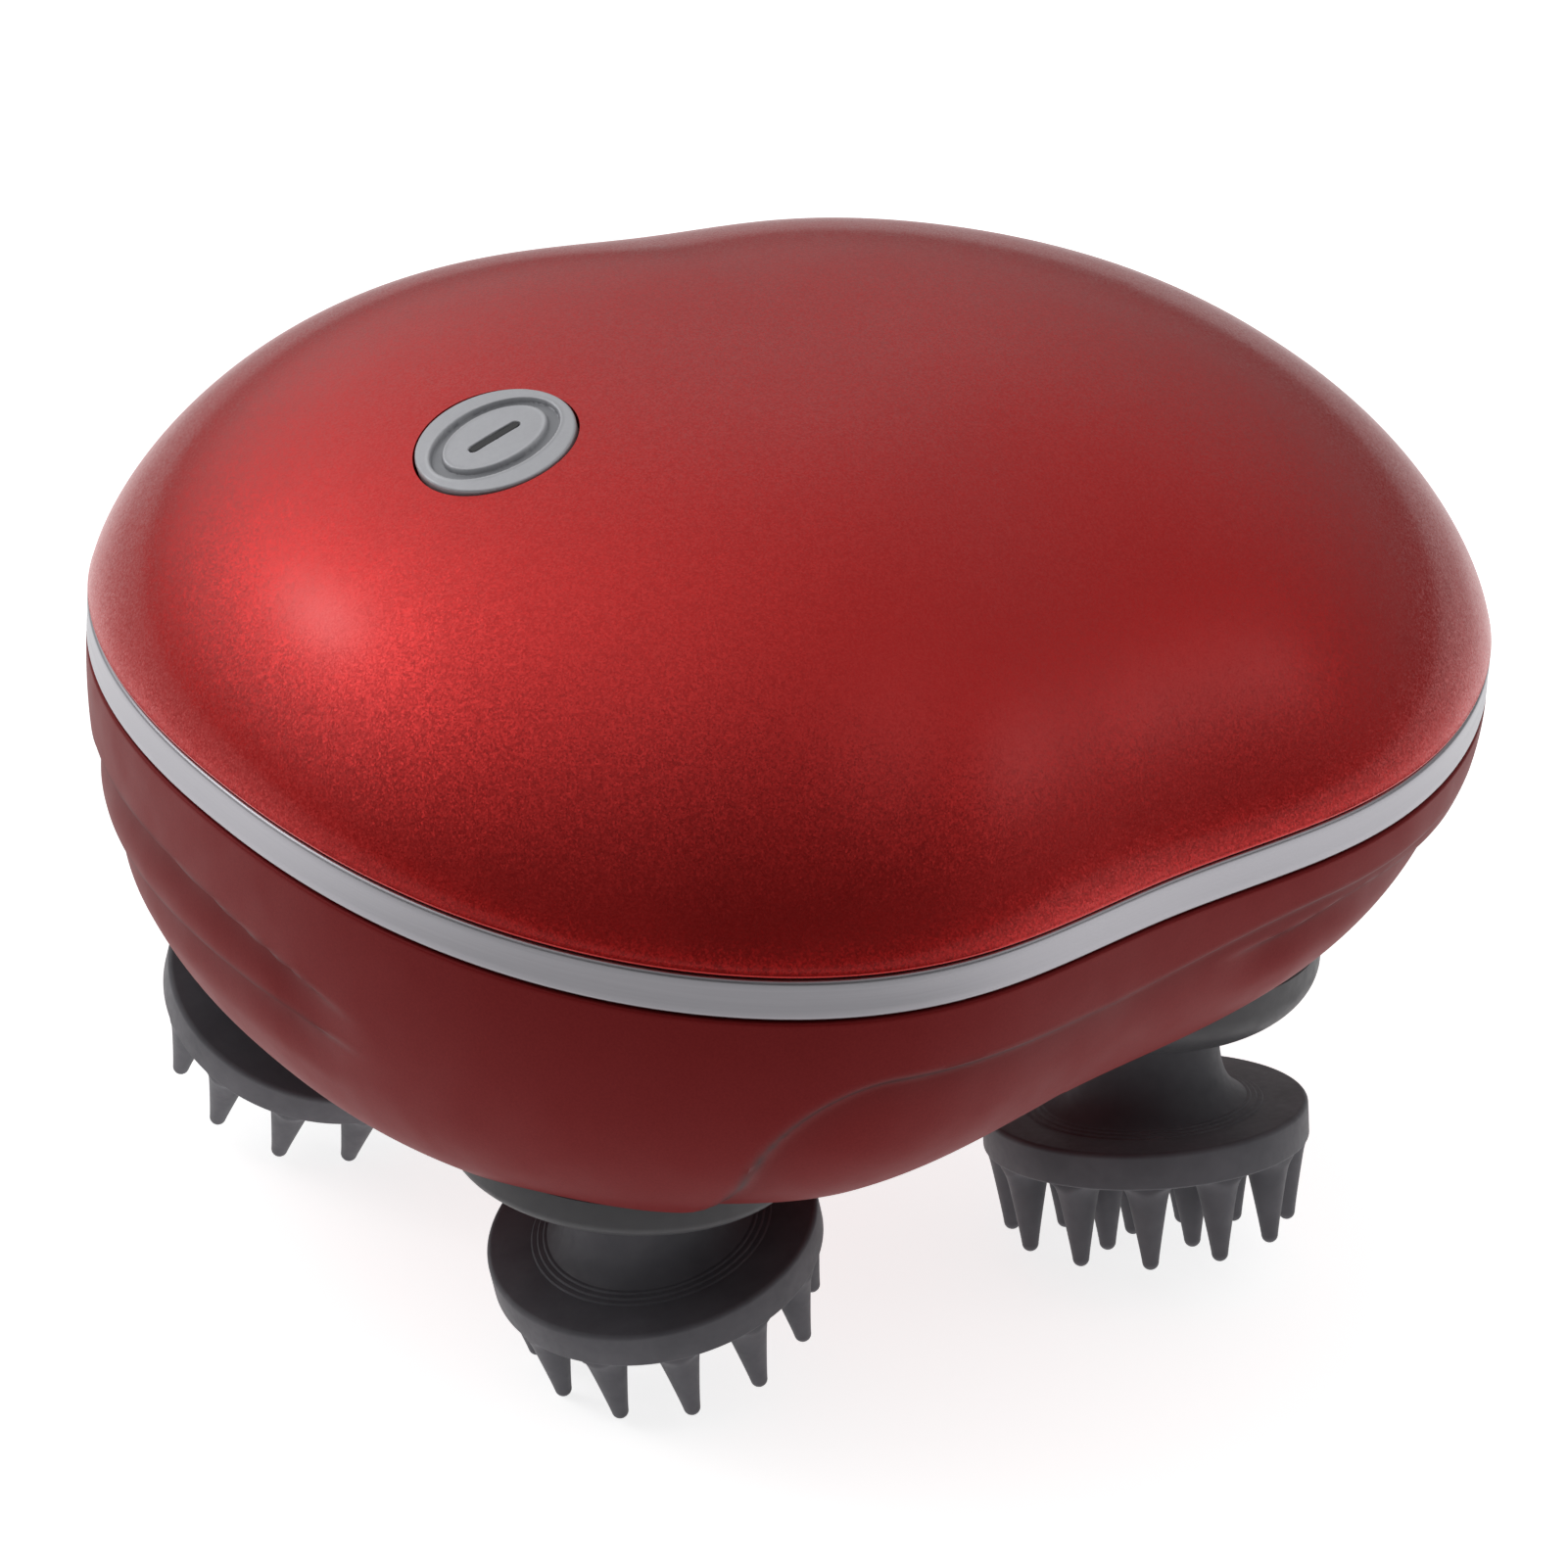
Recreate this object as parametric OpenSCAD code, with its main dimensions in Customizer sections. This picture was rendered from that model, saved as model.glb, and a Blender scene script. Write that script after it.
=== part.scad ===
// Cordless scalp massager: a domed hand-held body over four tilted, turning silicone heads.
// Millimetres. +Z is up, -X is the button end, +Y is the left side. z = 0 is the plane
// that the lowest spike of each head stands on.

/* [Body outline] */
// Length of the body from the button end to the far end
body_length = 124.6; // [122:0.2:128]
// Width of the outline before its waist and its taper are taken off
body_width = 115.8; // [114:0.2:118]
// Squareness of the outline: 2 is an ellipse
outline_power = 2.2; // [2.1:0.05:2.4]
// Share by which the outline is wider at the button end and narrower at the far end
outline_taper = 0.15; // [0.1:0.01:0.18]
// Share of the width that the finger waist takes off each side
waist_depth = 0.09; // [0.04:0.01:0.1]
// Height of the trim band's middle above the plane the spikes stand on
seam_z = 53.3; // [53:0.1:54]

/* [Shells] */
// Height of the dome above the trim band
dome_height = 30.1; // [29:0.1:32]
// Depth of the bowl below the trim band, at the middle of its length
bowl_depth = 24; // [23.5:0.1:24.5]
// Share by which the bowl is deeper at the button end
bowl_slope = 0.228; // [0.2:0.002:0.24]
// Size of the bowl's flat floor, as a share of the outline
floor_share = 0.587; // [0.57:0.001:0.6]
// Distance by which the floor is set back towards the button end
floor_shift = 9.1; // [8.5:0.1:9.5]
// Wall thickness of both shells
wall = 2.2; // [2:0.1:2.4]
// Height of the trim band
trim_height = 3.8; // [3.4:0.1:4]
// Depth of the trim band, measured in from the outline
trim_depth = 3; // [2.6:0.1:3.2]
// Gap above and below the trim band
seam_gap = 0.2; // [0.1:0.05:0.3]

/* [Button] */
// Distance of the button from the middle of the body, towards the button end
button_set_back = 35.6; // [35.2:0.1:36.2]
// Slope of the button's face down towards the button end
button_slope = 19; // [18:1:20]
// Radius of the button cap
button_r = 7.1; // [6.8:0.1:7.2]
// How far the button stands above the dome
button_proud = 0.3; // [0.2:0.1:0.6]

/* [Heads] */
// Distance between the front and the rear spin axes
head_pitch = 55; // [54.8:0.1:55.2]
// Middle of the front and the rear spin axes, along X
head_mid_x = -6.2; // [-6.6:0.1:-5.8]
// Depth of the crank elbow below the trim band
elbow_depth = 28.5; // [28:0.1:29]
// Tilt of each head: front right, front left, rear right, rear left
head_tilt = [17, 23, 13, 17]; // [12:1:24]
// Direction in which the top of each head leans, in the same order
head_lean = [183, 258, 84, 0]; // [0:1:360]
// Radius of a head's disc
disc_r = 14.7; // [14:0.1:15]
// Thickness of a head's disc
disc_thick = 3.42; // [3.2:0.02:3.6]
// Length of a spike below the disc
spike_length = 8.2; // [7.4:0.1:8.6]
// Radius of a spike at the disc
spike_base_r = 1.95; // [1.7:0.05:1.95]
// Radius of the round tip of a spike
spike_tip_r = 0.75; // [0.6:0.05:0.9]
// Radius of the collar that closes the round opening above a head
collar_r = 15.8; // [15.4:0.1:16]

/* [Gears] */
// Pressure angle of all gear teeth
pressure_angle = 25; // [24:0.5:26]
// Play between meshing teeth, measured along the pitch circle
backlash = 0.12; // [0.1:0.01:0.2]

/* [Hidden] */

$fn = 48;
ring_points = 72;
dome_rows = 10;
crown_angle = 82;
bowl_rows = 11;
inner_rows = 7;
half_length = body_length / 2;
half_width = body_width / 2;
shell_rim = trim_height / 2 + seam_gap;
eps = 0.01;

// Curvature of the dome: how quickly it rises, and how quickly it draws in at the two ends
dome_rise = 1.384;
dome_draw = 2.957;
dome_draw_change = -0.181;
dome_lean = -0.022;
bowl_rise = 2.071;
bowl_draw = 2.469;
waist_x = 1.6;
waist_reach = 24.6;

// Levels of the gearbox, measured from the trim band's middle
base_top = -15;
plate_thick = 2;
base_low = base_top - plate_thick;
coarse_low = -14.2;
coarse_high = -9.2;
fine_low = -8.2;
fine_high = -5.2;
cover_low = -3.7;
cover_high = cover_low + plate_thick;

// Tooth counts place the shafts, so they belong together
drive_teeth = 28;
output_teeth = 30;
reduction_teeth = [12, 46];
pinion_teeth = 12;
coarse_module = 1;
fine_module = 0.7;
drive_r = drive_teeth * coarse_module / 2;
output_r = output_teeth * coarse_module / 2;
head_y = drive_r + sqrt(pow(drive_r + output_r, 2) - pow(head_pitch / 2, 2));
head_places = [for (x = [-1, 1], y = [-1, 1]) [head_mid_x + x * head_pitch / 2, y * head_y]];
drive_places = [[head_mid_x, drive_r], [head_mid_x, -drive_r]];
reduction_angle = -36;
reduction_step = (drive_teeth + reduction_teeth[0]) * coarse_module / 2;
reduction_place = drive_places[0] + reduction_step * [cos(reduction_angle), sin(reduction_angle)];
motor_step = (pinion_teeth + reduction_teeth[1]) * fine_module / 2;
motor_place = [reduction_place[0] - sqrt(pow(motor_step, 2) - pow(reduction_place[1], 2)), 0];

shaft_r = 3;
axle_r = 2;
reduction_axle_r = 1.5;
motor_shaft_r = 1;
running_gap = 0.03;
hub_r = 5;
bush_r = 4.5;
core_r = 4.5;
core_flange_r = 9;
crank_end = 1.2;
neck_r = 6.8;
neck_flare = 2.4;
neck_bore_r = 4.6;
step_r = 10.7;
step_high = 0.45;
// Rings of spikes under a disc, as [radius, count]
spike_rings = [[12.4, 12], [7.6, 6], [3, 3]];
opening_r = collar_r + 0.4;
motor_r = 12.2;
motor_height = 26.5;
motor_cap_height = 2;
terminal_y = 6;
motor_boss_r = 3;
motor_screw_r = 0.8;
motor_shaft_low = -8.5;
magnet_r = 9.4;
motor_screw_y = 8;
motor_screw_places = [for (y = [-motor_screw_y, motor_screw_y]) motor_place + [0, y]];
battery_r = 9.2;
battery_length = 65;
battery_nub = 0.8;
battery_place = [22.5, 0, 10];

// Gearbox pillars and body screws, seen from above
pillar_places = [[-27, 0], [31, 0], [head_mid_x, 35], [head_mid_x, -35]];
pillar_r = 3.4;
gearbox_screw_r = 1.3;
gearbox_screw_low = -22;
boss_r = 3.4;
screw_places = [[-51, 0], [44, 0], [head_mid_x, 44], [head_mid_x, -44]];
screw_r = 1.4;
screw_low = -9;
screw_head_r = 2.7;
pocket_r = 3;
post_r = 3.6;
gearbox_screw_head_r = 2.5;
screw_clearance = 0.05;

// The button's place on the dome, from the dome's own curve at y = 0
button_share = button_set_back / half_length;
button_cos = pow(button_share, (dome_draw - dome_draw_change) / 2);
button_rise = pow(sqrt(1 - button_cos * button_cos), 2 / dome_rise);
button_z = seam_z + shell_rim + dome_height * button_rise * (1 - dome_lean * button_share);
groove_size = [6.1, 4.9];
groove_width = 1.1;
groove_depth = 0.5;
button_face_r = 76;
window_size = [4.9, 0.7];
plunger_r = 1.6;
board_depth = 11;
plunger_top = -board_depth + 4.1;
board_size = [19, 30, 1.2];
board_screw_y = 12;
board_screw_r = 1;

// The charging port on the far end's wall
port_place = [60.9, 0, -6.4];
port_slope = 15;
port_size = [13, 6.5];
port_thick = 1.3;
port_gap = 0.2;
hinge_r = port_thick / 2;
hinge_x = hinge_r - port_size[1] / 2;

function power_of(v, p) = sign(v) * pow(abs(v), p);
function reversed(list) = [for (i = [len(list) - 1 : -1 : 0]) list[i]];

// A point of the body's outline at angle t, with both half sizes made less by inset
function outline(t, inset = 0) =
    let (x = (half_length - inset) * power_of(cos(t), 2 / outline_power))
    let (y = (half_width - inset) * power_of(sin(t), 2 / outline_power))
    let (waist = 1 - waist_depth * exp(-pow((x - waist_x) / waist_reach, 2)))
    [x, y * (1 - outline_taper * x / (half_length - inset)) * waist];

// A point of the dome at angle t round it and angle up it, above the trim band's middle
function dome_point(t, up, inset) =
    let (p = outline(t, inset))
    let (draw = dome_draw + dome_draw_change * p[0] / half_length)
    let (s = pow(cos(up), 2 / draw))
    let (rise = pow(sin(up), 2 / dome_rise) * (1 + dome_lean * p[0] * s / half_length))
    [p[0] * s, p[1] * s, shell_rim + (dome_height - inset) * rise];

// Height of the bowl's flat, sloping floor at x, from the trim band's middle
function floor_z(x, inset = 0) =
    -shell_rim - (bowl_depth - inset) * (1 - bowl_slope * x / half_length);

// A point of the bowl at angle t round it and angle down it
function bowl_point(t, down, inset) =
    let (p = outline(t, inset))
    let (c = pow(cos(down), 2 / bowl_draw))
    let (s = floor_share + (1 - floor_share) * c)
    let (x = p[0] * s - floor_shift * (1 - c))
    let (drop = pow(sin(down), 2 / bowl_rise))
    [x, p[1] * s, -shell_rim + (floor_z(x, inset) + shell_rim) * drop];

function ring_angles() = [for (i = [0 : ring_points - 1]) i * 360 / ring_points];
function dome_ring(up, inset) = [for (t = ring_angles()) dome_point(t, up, inset)];
function bowl_ring(down, inset) = [for (t = ring_angles()) bowl_point(t, down, inset)];
function steps(rows, limit) = [for (i = [0 : rows]) limit * i / rows];

// A closed skin over a list of rings, with a fan from one middle point at each end
module skin(rings, first, last) {
    n = ring_points;
    count = len(rings);
    sides = [for (k = [0 : count - 2], i = [0 : n - 1])
        let (a = k * n + i, b = k * n + (i + 1) % n)
        each [[a, b, b + n], [a, b + n, a + n]]];
    start = [for (i = [0 : n - 1]) [count * n, (i + 1) % n, i]];
    end = [for (i = [0 : n - 1]) [count * n + 1, (count - 1) * n + i, (count - 1) * n + (i + 1) % n]];
    polyhedron(concat([for (ring = rings) each ring], [first, last]), concat(start, sides, end));
}

module dome_shell() {
    outer = [for (up = steps(dome_rows, crown_angle)) dome_ring(up, 0)];
    inner = [for (up = steps(inner_rows, crown_angle)) dome_ring(up, wall)];
    skin(concat(reversed(outer), inner), dome_point(90, 90, 0), dome_point(90, 90, wall));
}

// The solid under the middle of the dome's wall, which cuts bosses off inside the wall
module dome_core() {
    rings = [for (up = steps(inner_rows, crown_angle)) dome_ring(up, wall / 2)];
    skin(reversed(rings), dome_point(90, 90, wall / 2), [0, 0, shell_rim]);
}

module bowl_shell() {
    outer = [for (down = steps(bowl_rows, 90)) bowl_ring(down, 0)];
    inner = [for (down = steps(inner_rows, 90)) bowl_ring(down, wall)];
    skin(concat(reversed(inner), outer), [-floor_shift, 0, floor_z(-floor_shift, wall)],
        [-floor_shift, 0, floor_z(-floor_shift)]);
}

module bowl_core() {
    rings = [for (down = steps(inner_rows, 90)) bowl_ring(down, wall / 2)];
    skin(rings, [0, 0, -shell_rim], [-floor_shift, 0, floor_z(-floor_shift, wall / 2)]);
}

// A band that follows the outline between two insets
module band(outer_inset, inner_inset, height) {
    angles = [for (i = [0 : 2 * ring_points - 1]) i * 180 / ring_points];
    linear_extrude(height, center = true)
        difference() {
            polygon([for (t = angles) outline(t, outer_inset)]);
            polygon([for (t = angles) outline(t, inner_inset)]);
        }
}

module at_places(places) {
    for (p = places) translate([p[0], p[1], seam_z]) children();
}

// A cylinder between two heights
module rod(r, low, high) {
    translate([0, 0, low]) cylinder(r = r, h = high - low);
}

module at_button() {
    translate([-button_set_back, 0, button_z]) rotate([0, -button_slope, 0]) children();
}

// Frame of head i: origin at the crank's elbow, +Z up the head's own axis
module at_head(i) {
    translate([head_places[i][0], head_places[i][1], seam_z - elbow_depth])
        rotate([0, 0, head_lean[i]])
            rotate([0, head_tilt[i], 0])
                children();
}

module at_port() {
    translate([port_place[0], port_place[1], seam_z + port_place[2]])
        rotate([0, 90 + port_slope, 0])
            children();
}

// Distance from the elbow to the middle of head i's disc, which stands its lowest spike on z = 0
function head_reach(i) =
    let (drop = seam_z - elbow_depth - spike_tip_r - spike_rings[0][0] * sin(head_tilt[i]))
    drop / cos(head_tilt[i]) - (disc_thick / 2 + spike_length - spike_tip_r);

// ---- Gears ----

function involute(base_r, r) =
    let (a = acos(min(1, base_r / r)))
    tan(a) * 180 / PI - a;

// Half the angle that a tooth covers at radius r
function half_tooth(teeth, m, r) =
    let (pitch_r = teeth * m / 2, base_r = pitch_r * cos(pressure_angle))
    90 / teeth - backlash / 2 / pitch_r * 90 / PI + involute(base_r, pitch_r) - involute(base_r, r);

function at_angle(r, a) = [r * cos(a), r * sin(a)];

// Angle of a tooth of the second gear, so that it meshes with the first in direction line
function mesh_phase(line, first_phase, first_teeth, second_teeth) =
    line + 180 - 360 / second_teeth * (0.5 - (line - first_phase) * first_teeth / 360);

function direction(a, b) = atan2(b[1] - a[1], b[0] - a[0]);

module spur_gear(teeth, m, phase, low, high) {
    pitch_r = teeth * m / 2;
    root_r = pitch_r - 1.25 * m;
    flank_low = max(root_r, pitch_r * cos(pressure_angle));
    flank = [for (i = [0 : 3]) flank_low + (pitch_r + m - flank_low) * i / 3];
    halves = [for (r = flank) half_tooth(teeth, m, r)];
    tooth = concat([[root_r, -halves[0]]], [for (i = [0 : 3]) [flank[i], -halves[i]]],
        [for (i = [3 : -1 : 0]) [flank[i], halves[i]]], [[root_r, halves[0]]]);
    translate([0, 0, low])
        linear_extrude(high - low)
            polygon([for (k = [0 : teeth - 1], p = tooth) at_angle(p[0], p[1] + phase + k * 360 / teeth)]);
}

drive_phase_right = 0;
drive_phase_left = mesh_phase(90, drive_phase_right, drive_teeth, drive_teeth);
reduction_phase = mesh_phase(reduction_angle, drive_phase_left, drive_teeth, reduction_teeth[0]);
motor_line = direction(reduction_place, motor_place);
pinion_phase = mesh_phase(motor_line, 0, reduction_teeth[1], pinion_teeth);

module output_gear(i) {
    left = head_places[i][1] > 0;
    drive = drive_places[left ? 0 : 1];
    drive_phase = left ? drive_phase_left : drive_phase_right;
    phase = mesh_phase(direction(drive, head_places[i]), drive_phase, drive_teeth, output_teeth);
    color("ivory")
        at_places([head_places[i]])
            difference() {
                union() {
                    spur_gear(output_teeth, coarse_module, phase, coarse_low, coarse_high);
                    rod(hub_r, coarse_high - eps, fine_high);
                }
                rod(shaft_r, coarse_low - 1, fine_high + 1);
            }
}

module drive_gear(side, phase) {
    color("ivory")
        at_places([drive_places[side]])
            difference() {
                spur_gear(drive_teeth, coarse_module, phase, coarse_low, coarse_high);
                rod(axle_r + running_gap, coarse_low - 1, coarse_high + 1);
            }
}

module drive_gear_left() { drive_gear(0, drive_phase_left); }
module drive_gear_right() { drive_gear(1, drive_phase_right); }

module reduction_gear() {
    color("white")
        at_places([reduction_place])
            difference() {
                union() {
                    spur_gear(reduction_teeth[0], coarse_module, reduction_phase,
                        coarse_low, fine_low + eps);
                    spur_gear(reduction_teeth[1], fine_module, 0, fine_low, fine_high);
                }
                rod(reduction_axle_r + running_gap, coarse_low - 1, fine_high + 1);
            }
}

module reduction_axle() {
    color("silver") at_places([reduction_place]) rod(reduction_axle_r, base_low, cover_high);
}

module drive_axles() {
    color("silver") at_places(drive_places) rod(axle_r, base_low, cover_high);
}

// ---- Gearbox ----

module bar(a, b, w) {
    translate(a)
        rotate(direction(a, b))
            translate([0, -w / 2])
                square([norm(b - a), w]);
}

// The shared outline of the gearbox base and cover: arms from the middle to every shaft
module plate_outline() {
    bar(pillar_places[0], pillar_places[1], 12);
    bar(pillar_places[2], pillar_places[3], 13);
    for (p = head_places) {
        bar(drive_places[p[1] > 0 ? 0 : 1], p, 10);
        translate(p) circle(r = 8);
    }
    for (p = pillar_places) translate(p) circle(r = 5);
}

module gearbox_base() {
    color("dimgray")
        difference() {
            union() {
                translate([0, 0, seam_z + base_low]) linear_extrude(plate_thick) plate_outline();
                at_places(pillar_places) rod(pillar_r, base_top - eps, cover_low);
            }
            at_places(head_places) rod(bush_r, base_low - 1, base_top + 1);
            at_places(drive_places) rod(axle_r, base_low - 1, base_top + 1);
            at_places([reduction_place]) rod(reduction_axle_r, base_low - 1, base_top + 1);
            at_places(pillar_places) rod(gearbox_screw_r + screw_clearance, base_low - 1, cover_low + 1);
        }
}

module gearbox_cover() {
    color("gray")
        difference() {
            translate([0, 0, seam_z + cover_low])
                linear_extrude(plate_thick)
                    union() {
                        plate_outline();
                        translate(motor_place) circle(r = motor_r);
                    }
            at_places(head_places) rod(bush_r, cover_low - 1, cover_high + 1);
            at_places(drive_places) rod(axle_r, cover_low - 1, cover_high + 1);
            at_places([reduction_place]) rod(reduction_axle_r, cover_low - 1, cover_high + 1);
            at_places(pillar_places) rod(gearbox_screw_r + screw_clearance, cover_low - 1, cover_high + 1);
            at_places([motor_place]) rod(motor_boss_r + 0.05, cover_low - 1, cover_high + 1);
            at_places(motor_screw_places)
                rod(motor_screw_r + screw_clearance, cover_low - 1, cover_high + 1);
        }
}

module gearbox_screws() {
    color("silver")
        at_places(pillar_places) {
            rod(gearbox_screw_r, gearbox_screw_low, cover_high + eps);
            rod(gearbox_screw_head_r, cover_high, cover_high + 1.6);
        }
}

module lower_bushes() {
    color("goldenrod")
        at_places(head_places)
            difference() {
                union() {
                    rod(bush_r, base_low, base_top);
                    rod(bush_r + 1, base_low - 0.8, base_low);
                }
                rod(shaft_r + running_gap, base_low - 2, base_top + 1);
            }
}

module upper_bushes() {
    color("goldenrod")
        at_places(head_places)
            difference() {
                rod(bush_r, cover_low, cover_high);
                rod(shaft_r + running_gap, cover_low - 1, cover_high + 1);
            }
}

// ---- Motor ----

module motor_can() {
    color("lightsteelblue")
        at_places([motor_place])
            difference() {
                union() {
                    rod(motor_r, cover_high, cover_high + motor_height - motor_cap_height);
                    rod(motor_boss_r, cover_low + 0.5, cover_high + eps);
                }
                rod(motor_r - 1, cover_high + 1, cover_high + motor_height);
                rod(motor_shaft_r + running_gap, cover_low - 1, cover_high + 2);
                for (y = [-motor_screw_y, motor_screw_y])
                    translate([0, y, 0]) rod(motor_screw_r + screw_clearance, cover_low, cover_high + 2);
            }
}

module motor_end_cap() {
    cap_low = cover_high + motor_height - motor_cap_height;
    color("ivory")
        at_places([motor_place])
            difference() {
                union() {
                    rod(motor_r, cap_low, cap_low + motor_cap_height);
                    rod(motor_r - 1.05, cap_low - 1.5, cap_low + eps);
                    for (y = [-terminal_y, terminal_y])
                        translate([0, y, 0]) rod(0.9, cap_low + 1, cap_low + motor_cap_height + 0.6);
                }
                rod(motor_shaft_r + running_gap, cap_low - 2, cap_low + 1);
            }
}

module motor_magnets() {
    color("black")
        translate([motor_place[0], motor_place[1], seam_z + cover_high + 3])
            for (a = [0, 180])
                rotate([0, 0, a - 55])
                    rotate_extrude(angle = 110)
                        translate([magnet_r, 0]) square([motor_r - 1.05 - magnet_r, 16]);
}

module motor_armature() {
    color("peru")
        at_places([motor_place]) {
            rod(motor_shaft_r, motor_shaft_low, cover_high + motor_height - 1.5);
            rod(magnet_r - 0.5, cover_high + 4, cover_high + 18);
            rod(2.6, cover_high + 18 - eps, cover_high + 21);
        }
}

module motor_pinion() {
    color("goldenrod")
        at_places([motor_place])
            difference() {
                spur_gear(pinion_teeth, fine_module, pinion_phase, fine_low - 0.1, fine_high + 0.1);
                rod(motor_shaft_r, fine_low - 1, fine_high + 1);
            }
}

module motor_screws() {
    color("silver")
        at_places(motor_screw_places) {
            rod(1.7, cover_low - 0.9, cover_low);
            rod(motor_screw_r, cover_low - eps, cover_high + 1.4);
        }
}

// An eight-sided wire through a list of points, each length run on a little past its bend
module wire(points, r) {
    for (i = [0 : len(points) - 2]) {
        way = points[i + 1] - points[i];
        translate(points[i])
            rotate([0, acos(way[2] / norm(way)), atan2(way[1], way[0])])
                translate([0, 0, -r / 2])
                    cylinder(r = r, h = norm(way) + r, $fn = 8);
    }
}

module motor_leads() {
    top = seam_z + cover_high + motor_height + 0.6;
    color("crimson")
        for (y = [-terminal_y, terminal_y])
            wire([[motor_place[0] - 0.5, y, top + 0.8], [motor_place[0] - 2, y, top + 1.6],
                [motor_place[0] - 11.5, y, top + 0.8], [-23.4, y * 0.85, seam_z + 21.85]], 0.45);
}

// ---- Battery ----

module battery_cell() {
    color("royalblue")
        translate([battery_place[0], battery_length / 2, seam_z + battery_place[2]])
            rotate([90, 0, 0]) {
                cylinder(r = battery_r, h = battery_length);
                translate([0, 0, -battery_nub]) cylinder(r = 3, h = 1);
            }
}

module battery_cradle() {
    low = seam_z + cover_high;
    width = 19;
    color("black")
        difference() {
            union() {
                translate([battery_place[0] - width / 2, -26, low]) cube([width, 52, 2]);
                for (y = [-24, 20]) translate([battery_place[0] - width / 2, y, low]) cube([width, 4, 8]);
            }
            translate([battery_place[0], 0, seam_z + battery_place[2]])
                rotate([90, 0, 0])
                    cylinder(r = battery_r + 0.05, h = battery_length, center = true);
            at_places([pillar_places[1]]) rod(3, cover_high - 1, cover_high + 3);
        }
}

module battery_leads() {
    r = 0.6;
    color("crimson")
        for (y = [-1, 1]) {
            end = battery_length / 2 + (y > 0 ? battery_nub : 0) + r + 0.05;
            wire([[battery_place[0], y * end, seam_z + battery_place[2]],
                [battery_place[0] - battery_r - 2, y * end, seam_z + battery_place[2] + 2],
                [-10, y * 21, seam_z + 14], [-23.5, y * 12, seam_z + 16.8]], r);
        }
}

// ---- Control board and button ----

module control_board() {
    color("darkgreen")
        at_button()
            difference() {
                translate([-board_size[0] / 2, -board_size[1] / 2, -board_depth - board_size[2]])
                    cube(board_size);
                for (y = [-1, 1])
                    translate([0, y * board_screw_y, 0])
                        rod(board_screw_r + screw_clearance, -board_depth - 2, -board_depth + 1);
            }
}

module board_screws() {
    color("silver")
        at_button()
            for (y = [-1, 1])
                translate([0, y * board_screw_y, 0]) {
                    rod(board_screw_r, -board_depth - board_size[2] - eps, -board_depth + 3.5);
                    rod(1.8, -board_depth - board_size[2] - 1.2, -board_depth - board_size[2]);
                }
}

module board_chips() {
    color("black")
        at_button() {
            translate([-8.5, 5, -board_depth]) cube([4.5, 4.5, 1]);
            translate([-8.5, -9, -board_depth]) cube([3.5, 5, 1.4]);
            translate([6, -7, -board_depth]) cylinder(r = 1.8, h = 3);
            translate([5, 7, -board_depth]) cube([3, 3, 1.6]);
        }
}

module status_led() {
    color("white") at_button() translate([3.6, -0.8, -board_depth]) cube([1.6, 1.6, 0.8]);
}

module tact_switch() {
    color("dimgray")
        at_button()
            difference() {
                translate([-3, -3, -board_depth]) cube([6, 6, 3.2]);
                rod(plunger_r + 0.05, -board_depth + 0.5, -board_depth + 4);
            }
}

module switch_plunger() {
    color("gray") at_button() rod(plunger_r, -board_depth + 1.4, plunger_top);
}

// An oval of the given half length and half width
module oval(a, b) {
    polygon([for (i = [0 : 5 : 355]) [a * cos(i), b * sin(i)]]);
}

module slot_outline(length, width) {
    square([length - width, width], center = true);
    for (x = [-1, 1]) translate([x * (length - width) / 2, 0]) circle(d = width, $fn = 24);
}

module power_button() {
    edge = 0.25;
    face = [for (k = [0 : 4]) let (r = (button_r - edge) * (1 - k / 4))
        [r, button_proud - button_face_r + sqrt(pow(button_face_r, 2) - r * r)]];
    rim = [for (a = [0 : 22.5 : 67.5])
        [button_r - edge + edge * cos(a), face[0][1] - edge + edge * sin(a)]];
    profile = concat([[0, plunger_top], [2.2, plunger_top], [2.2, -1.6], [button_r - 1.1, -1.6],
        [button_r - 1.1, -5.4], [button_r + 1.2, -5.4], [button_r + 1.2, -4.6], [button_r, -4.6]],
        rim, face);
    color("lightslategray")
        at_button()
            difference() {
                rotate_extrude() polygon(profile);
                translate([0, 0, button_proud - groove_depth])
                    linear_extrude(1)
                        difference() {
                            oval(groove_size[0], groove_size[1]);
                            oval(groove_size[0] - groove_width, groove_size[1] - groove_width);
                        }
                translate([0, 0, -1]) linear_extrude(3) slot_outline(window_size[0], window_size[1]);
            }
}

module button_window() {
    color("black")
        at_button()
            translate([0, 0, -1])
                linear_extrude(button_proud + 0.9)
                    slot_outline(window_size[0], window_size[1]);
}

// ---- Shells ----

module top_cover() {
    color("firebrick")
        difference() {
            union() {
                translate([0, 0, seam_z]) dome_shell();
                intersection() {
                    union() {
                        at_places(screw_places) rod(boss_r, shell_rim, 30);
                        at_button()
                            for (y = [-1, 1])
                                translate([0, y * board_screw_y, 0]) rod(2.4, -board_depth, 2);
                    }
                    translate([0, 0, seam_z]) dome_core();
                }
            }
            at_button() rod(button_r + 0.25, -6, 4);
            at_places(screw_places) rod(screw_r + screw_clearance, shell_rim - 1, shell_rim + 6);
            at_button()
                for (y = [-1, 1])
                    translate([0, y * board_screw_y, 0])
                        rod(board_screw_r + screw_clearance, -board_depth - 1, -board_depth + 4);
        }
}

module trim_ring() {
    color("silver") translate([0, 0, seam_z]) band(0, trim_depth, trim_height);
}

module housing_gasket() {
    color("black") translate([0, 0, seam_z]) band(trim_depth + 0.1, trim_depth + 1.6, trim_height);
}

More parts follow.
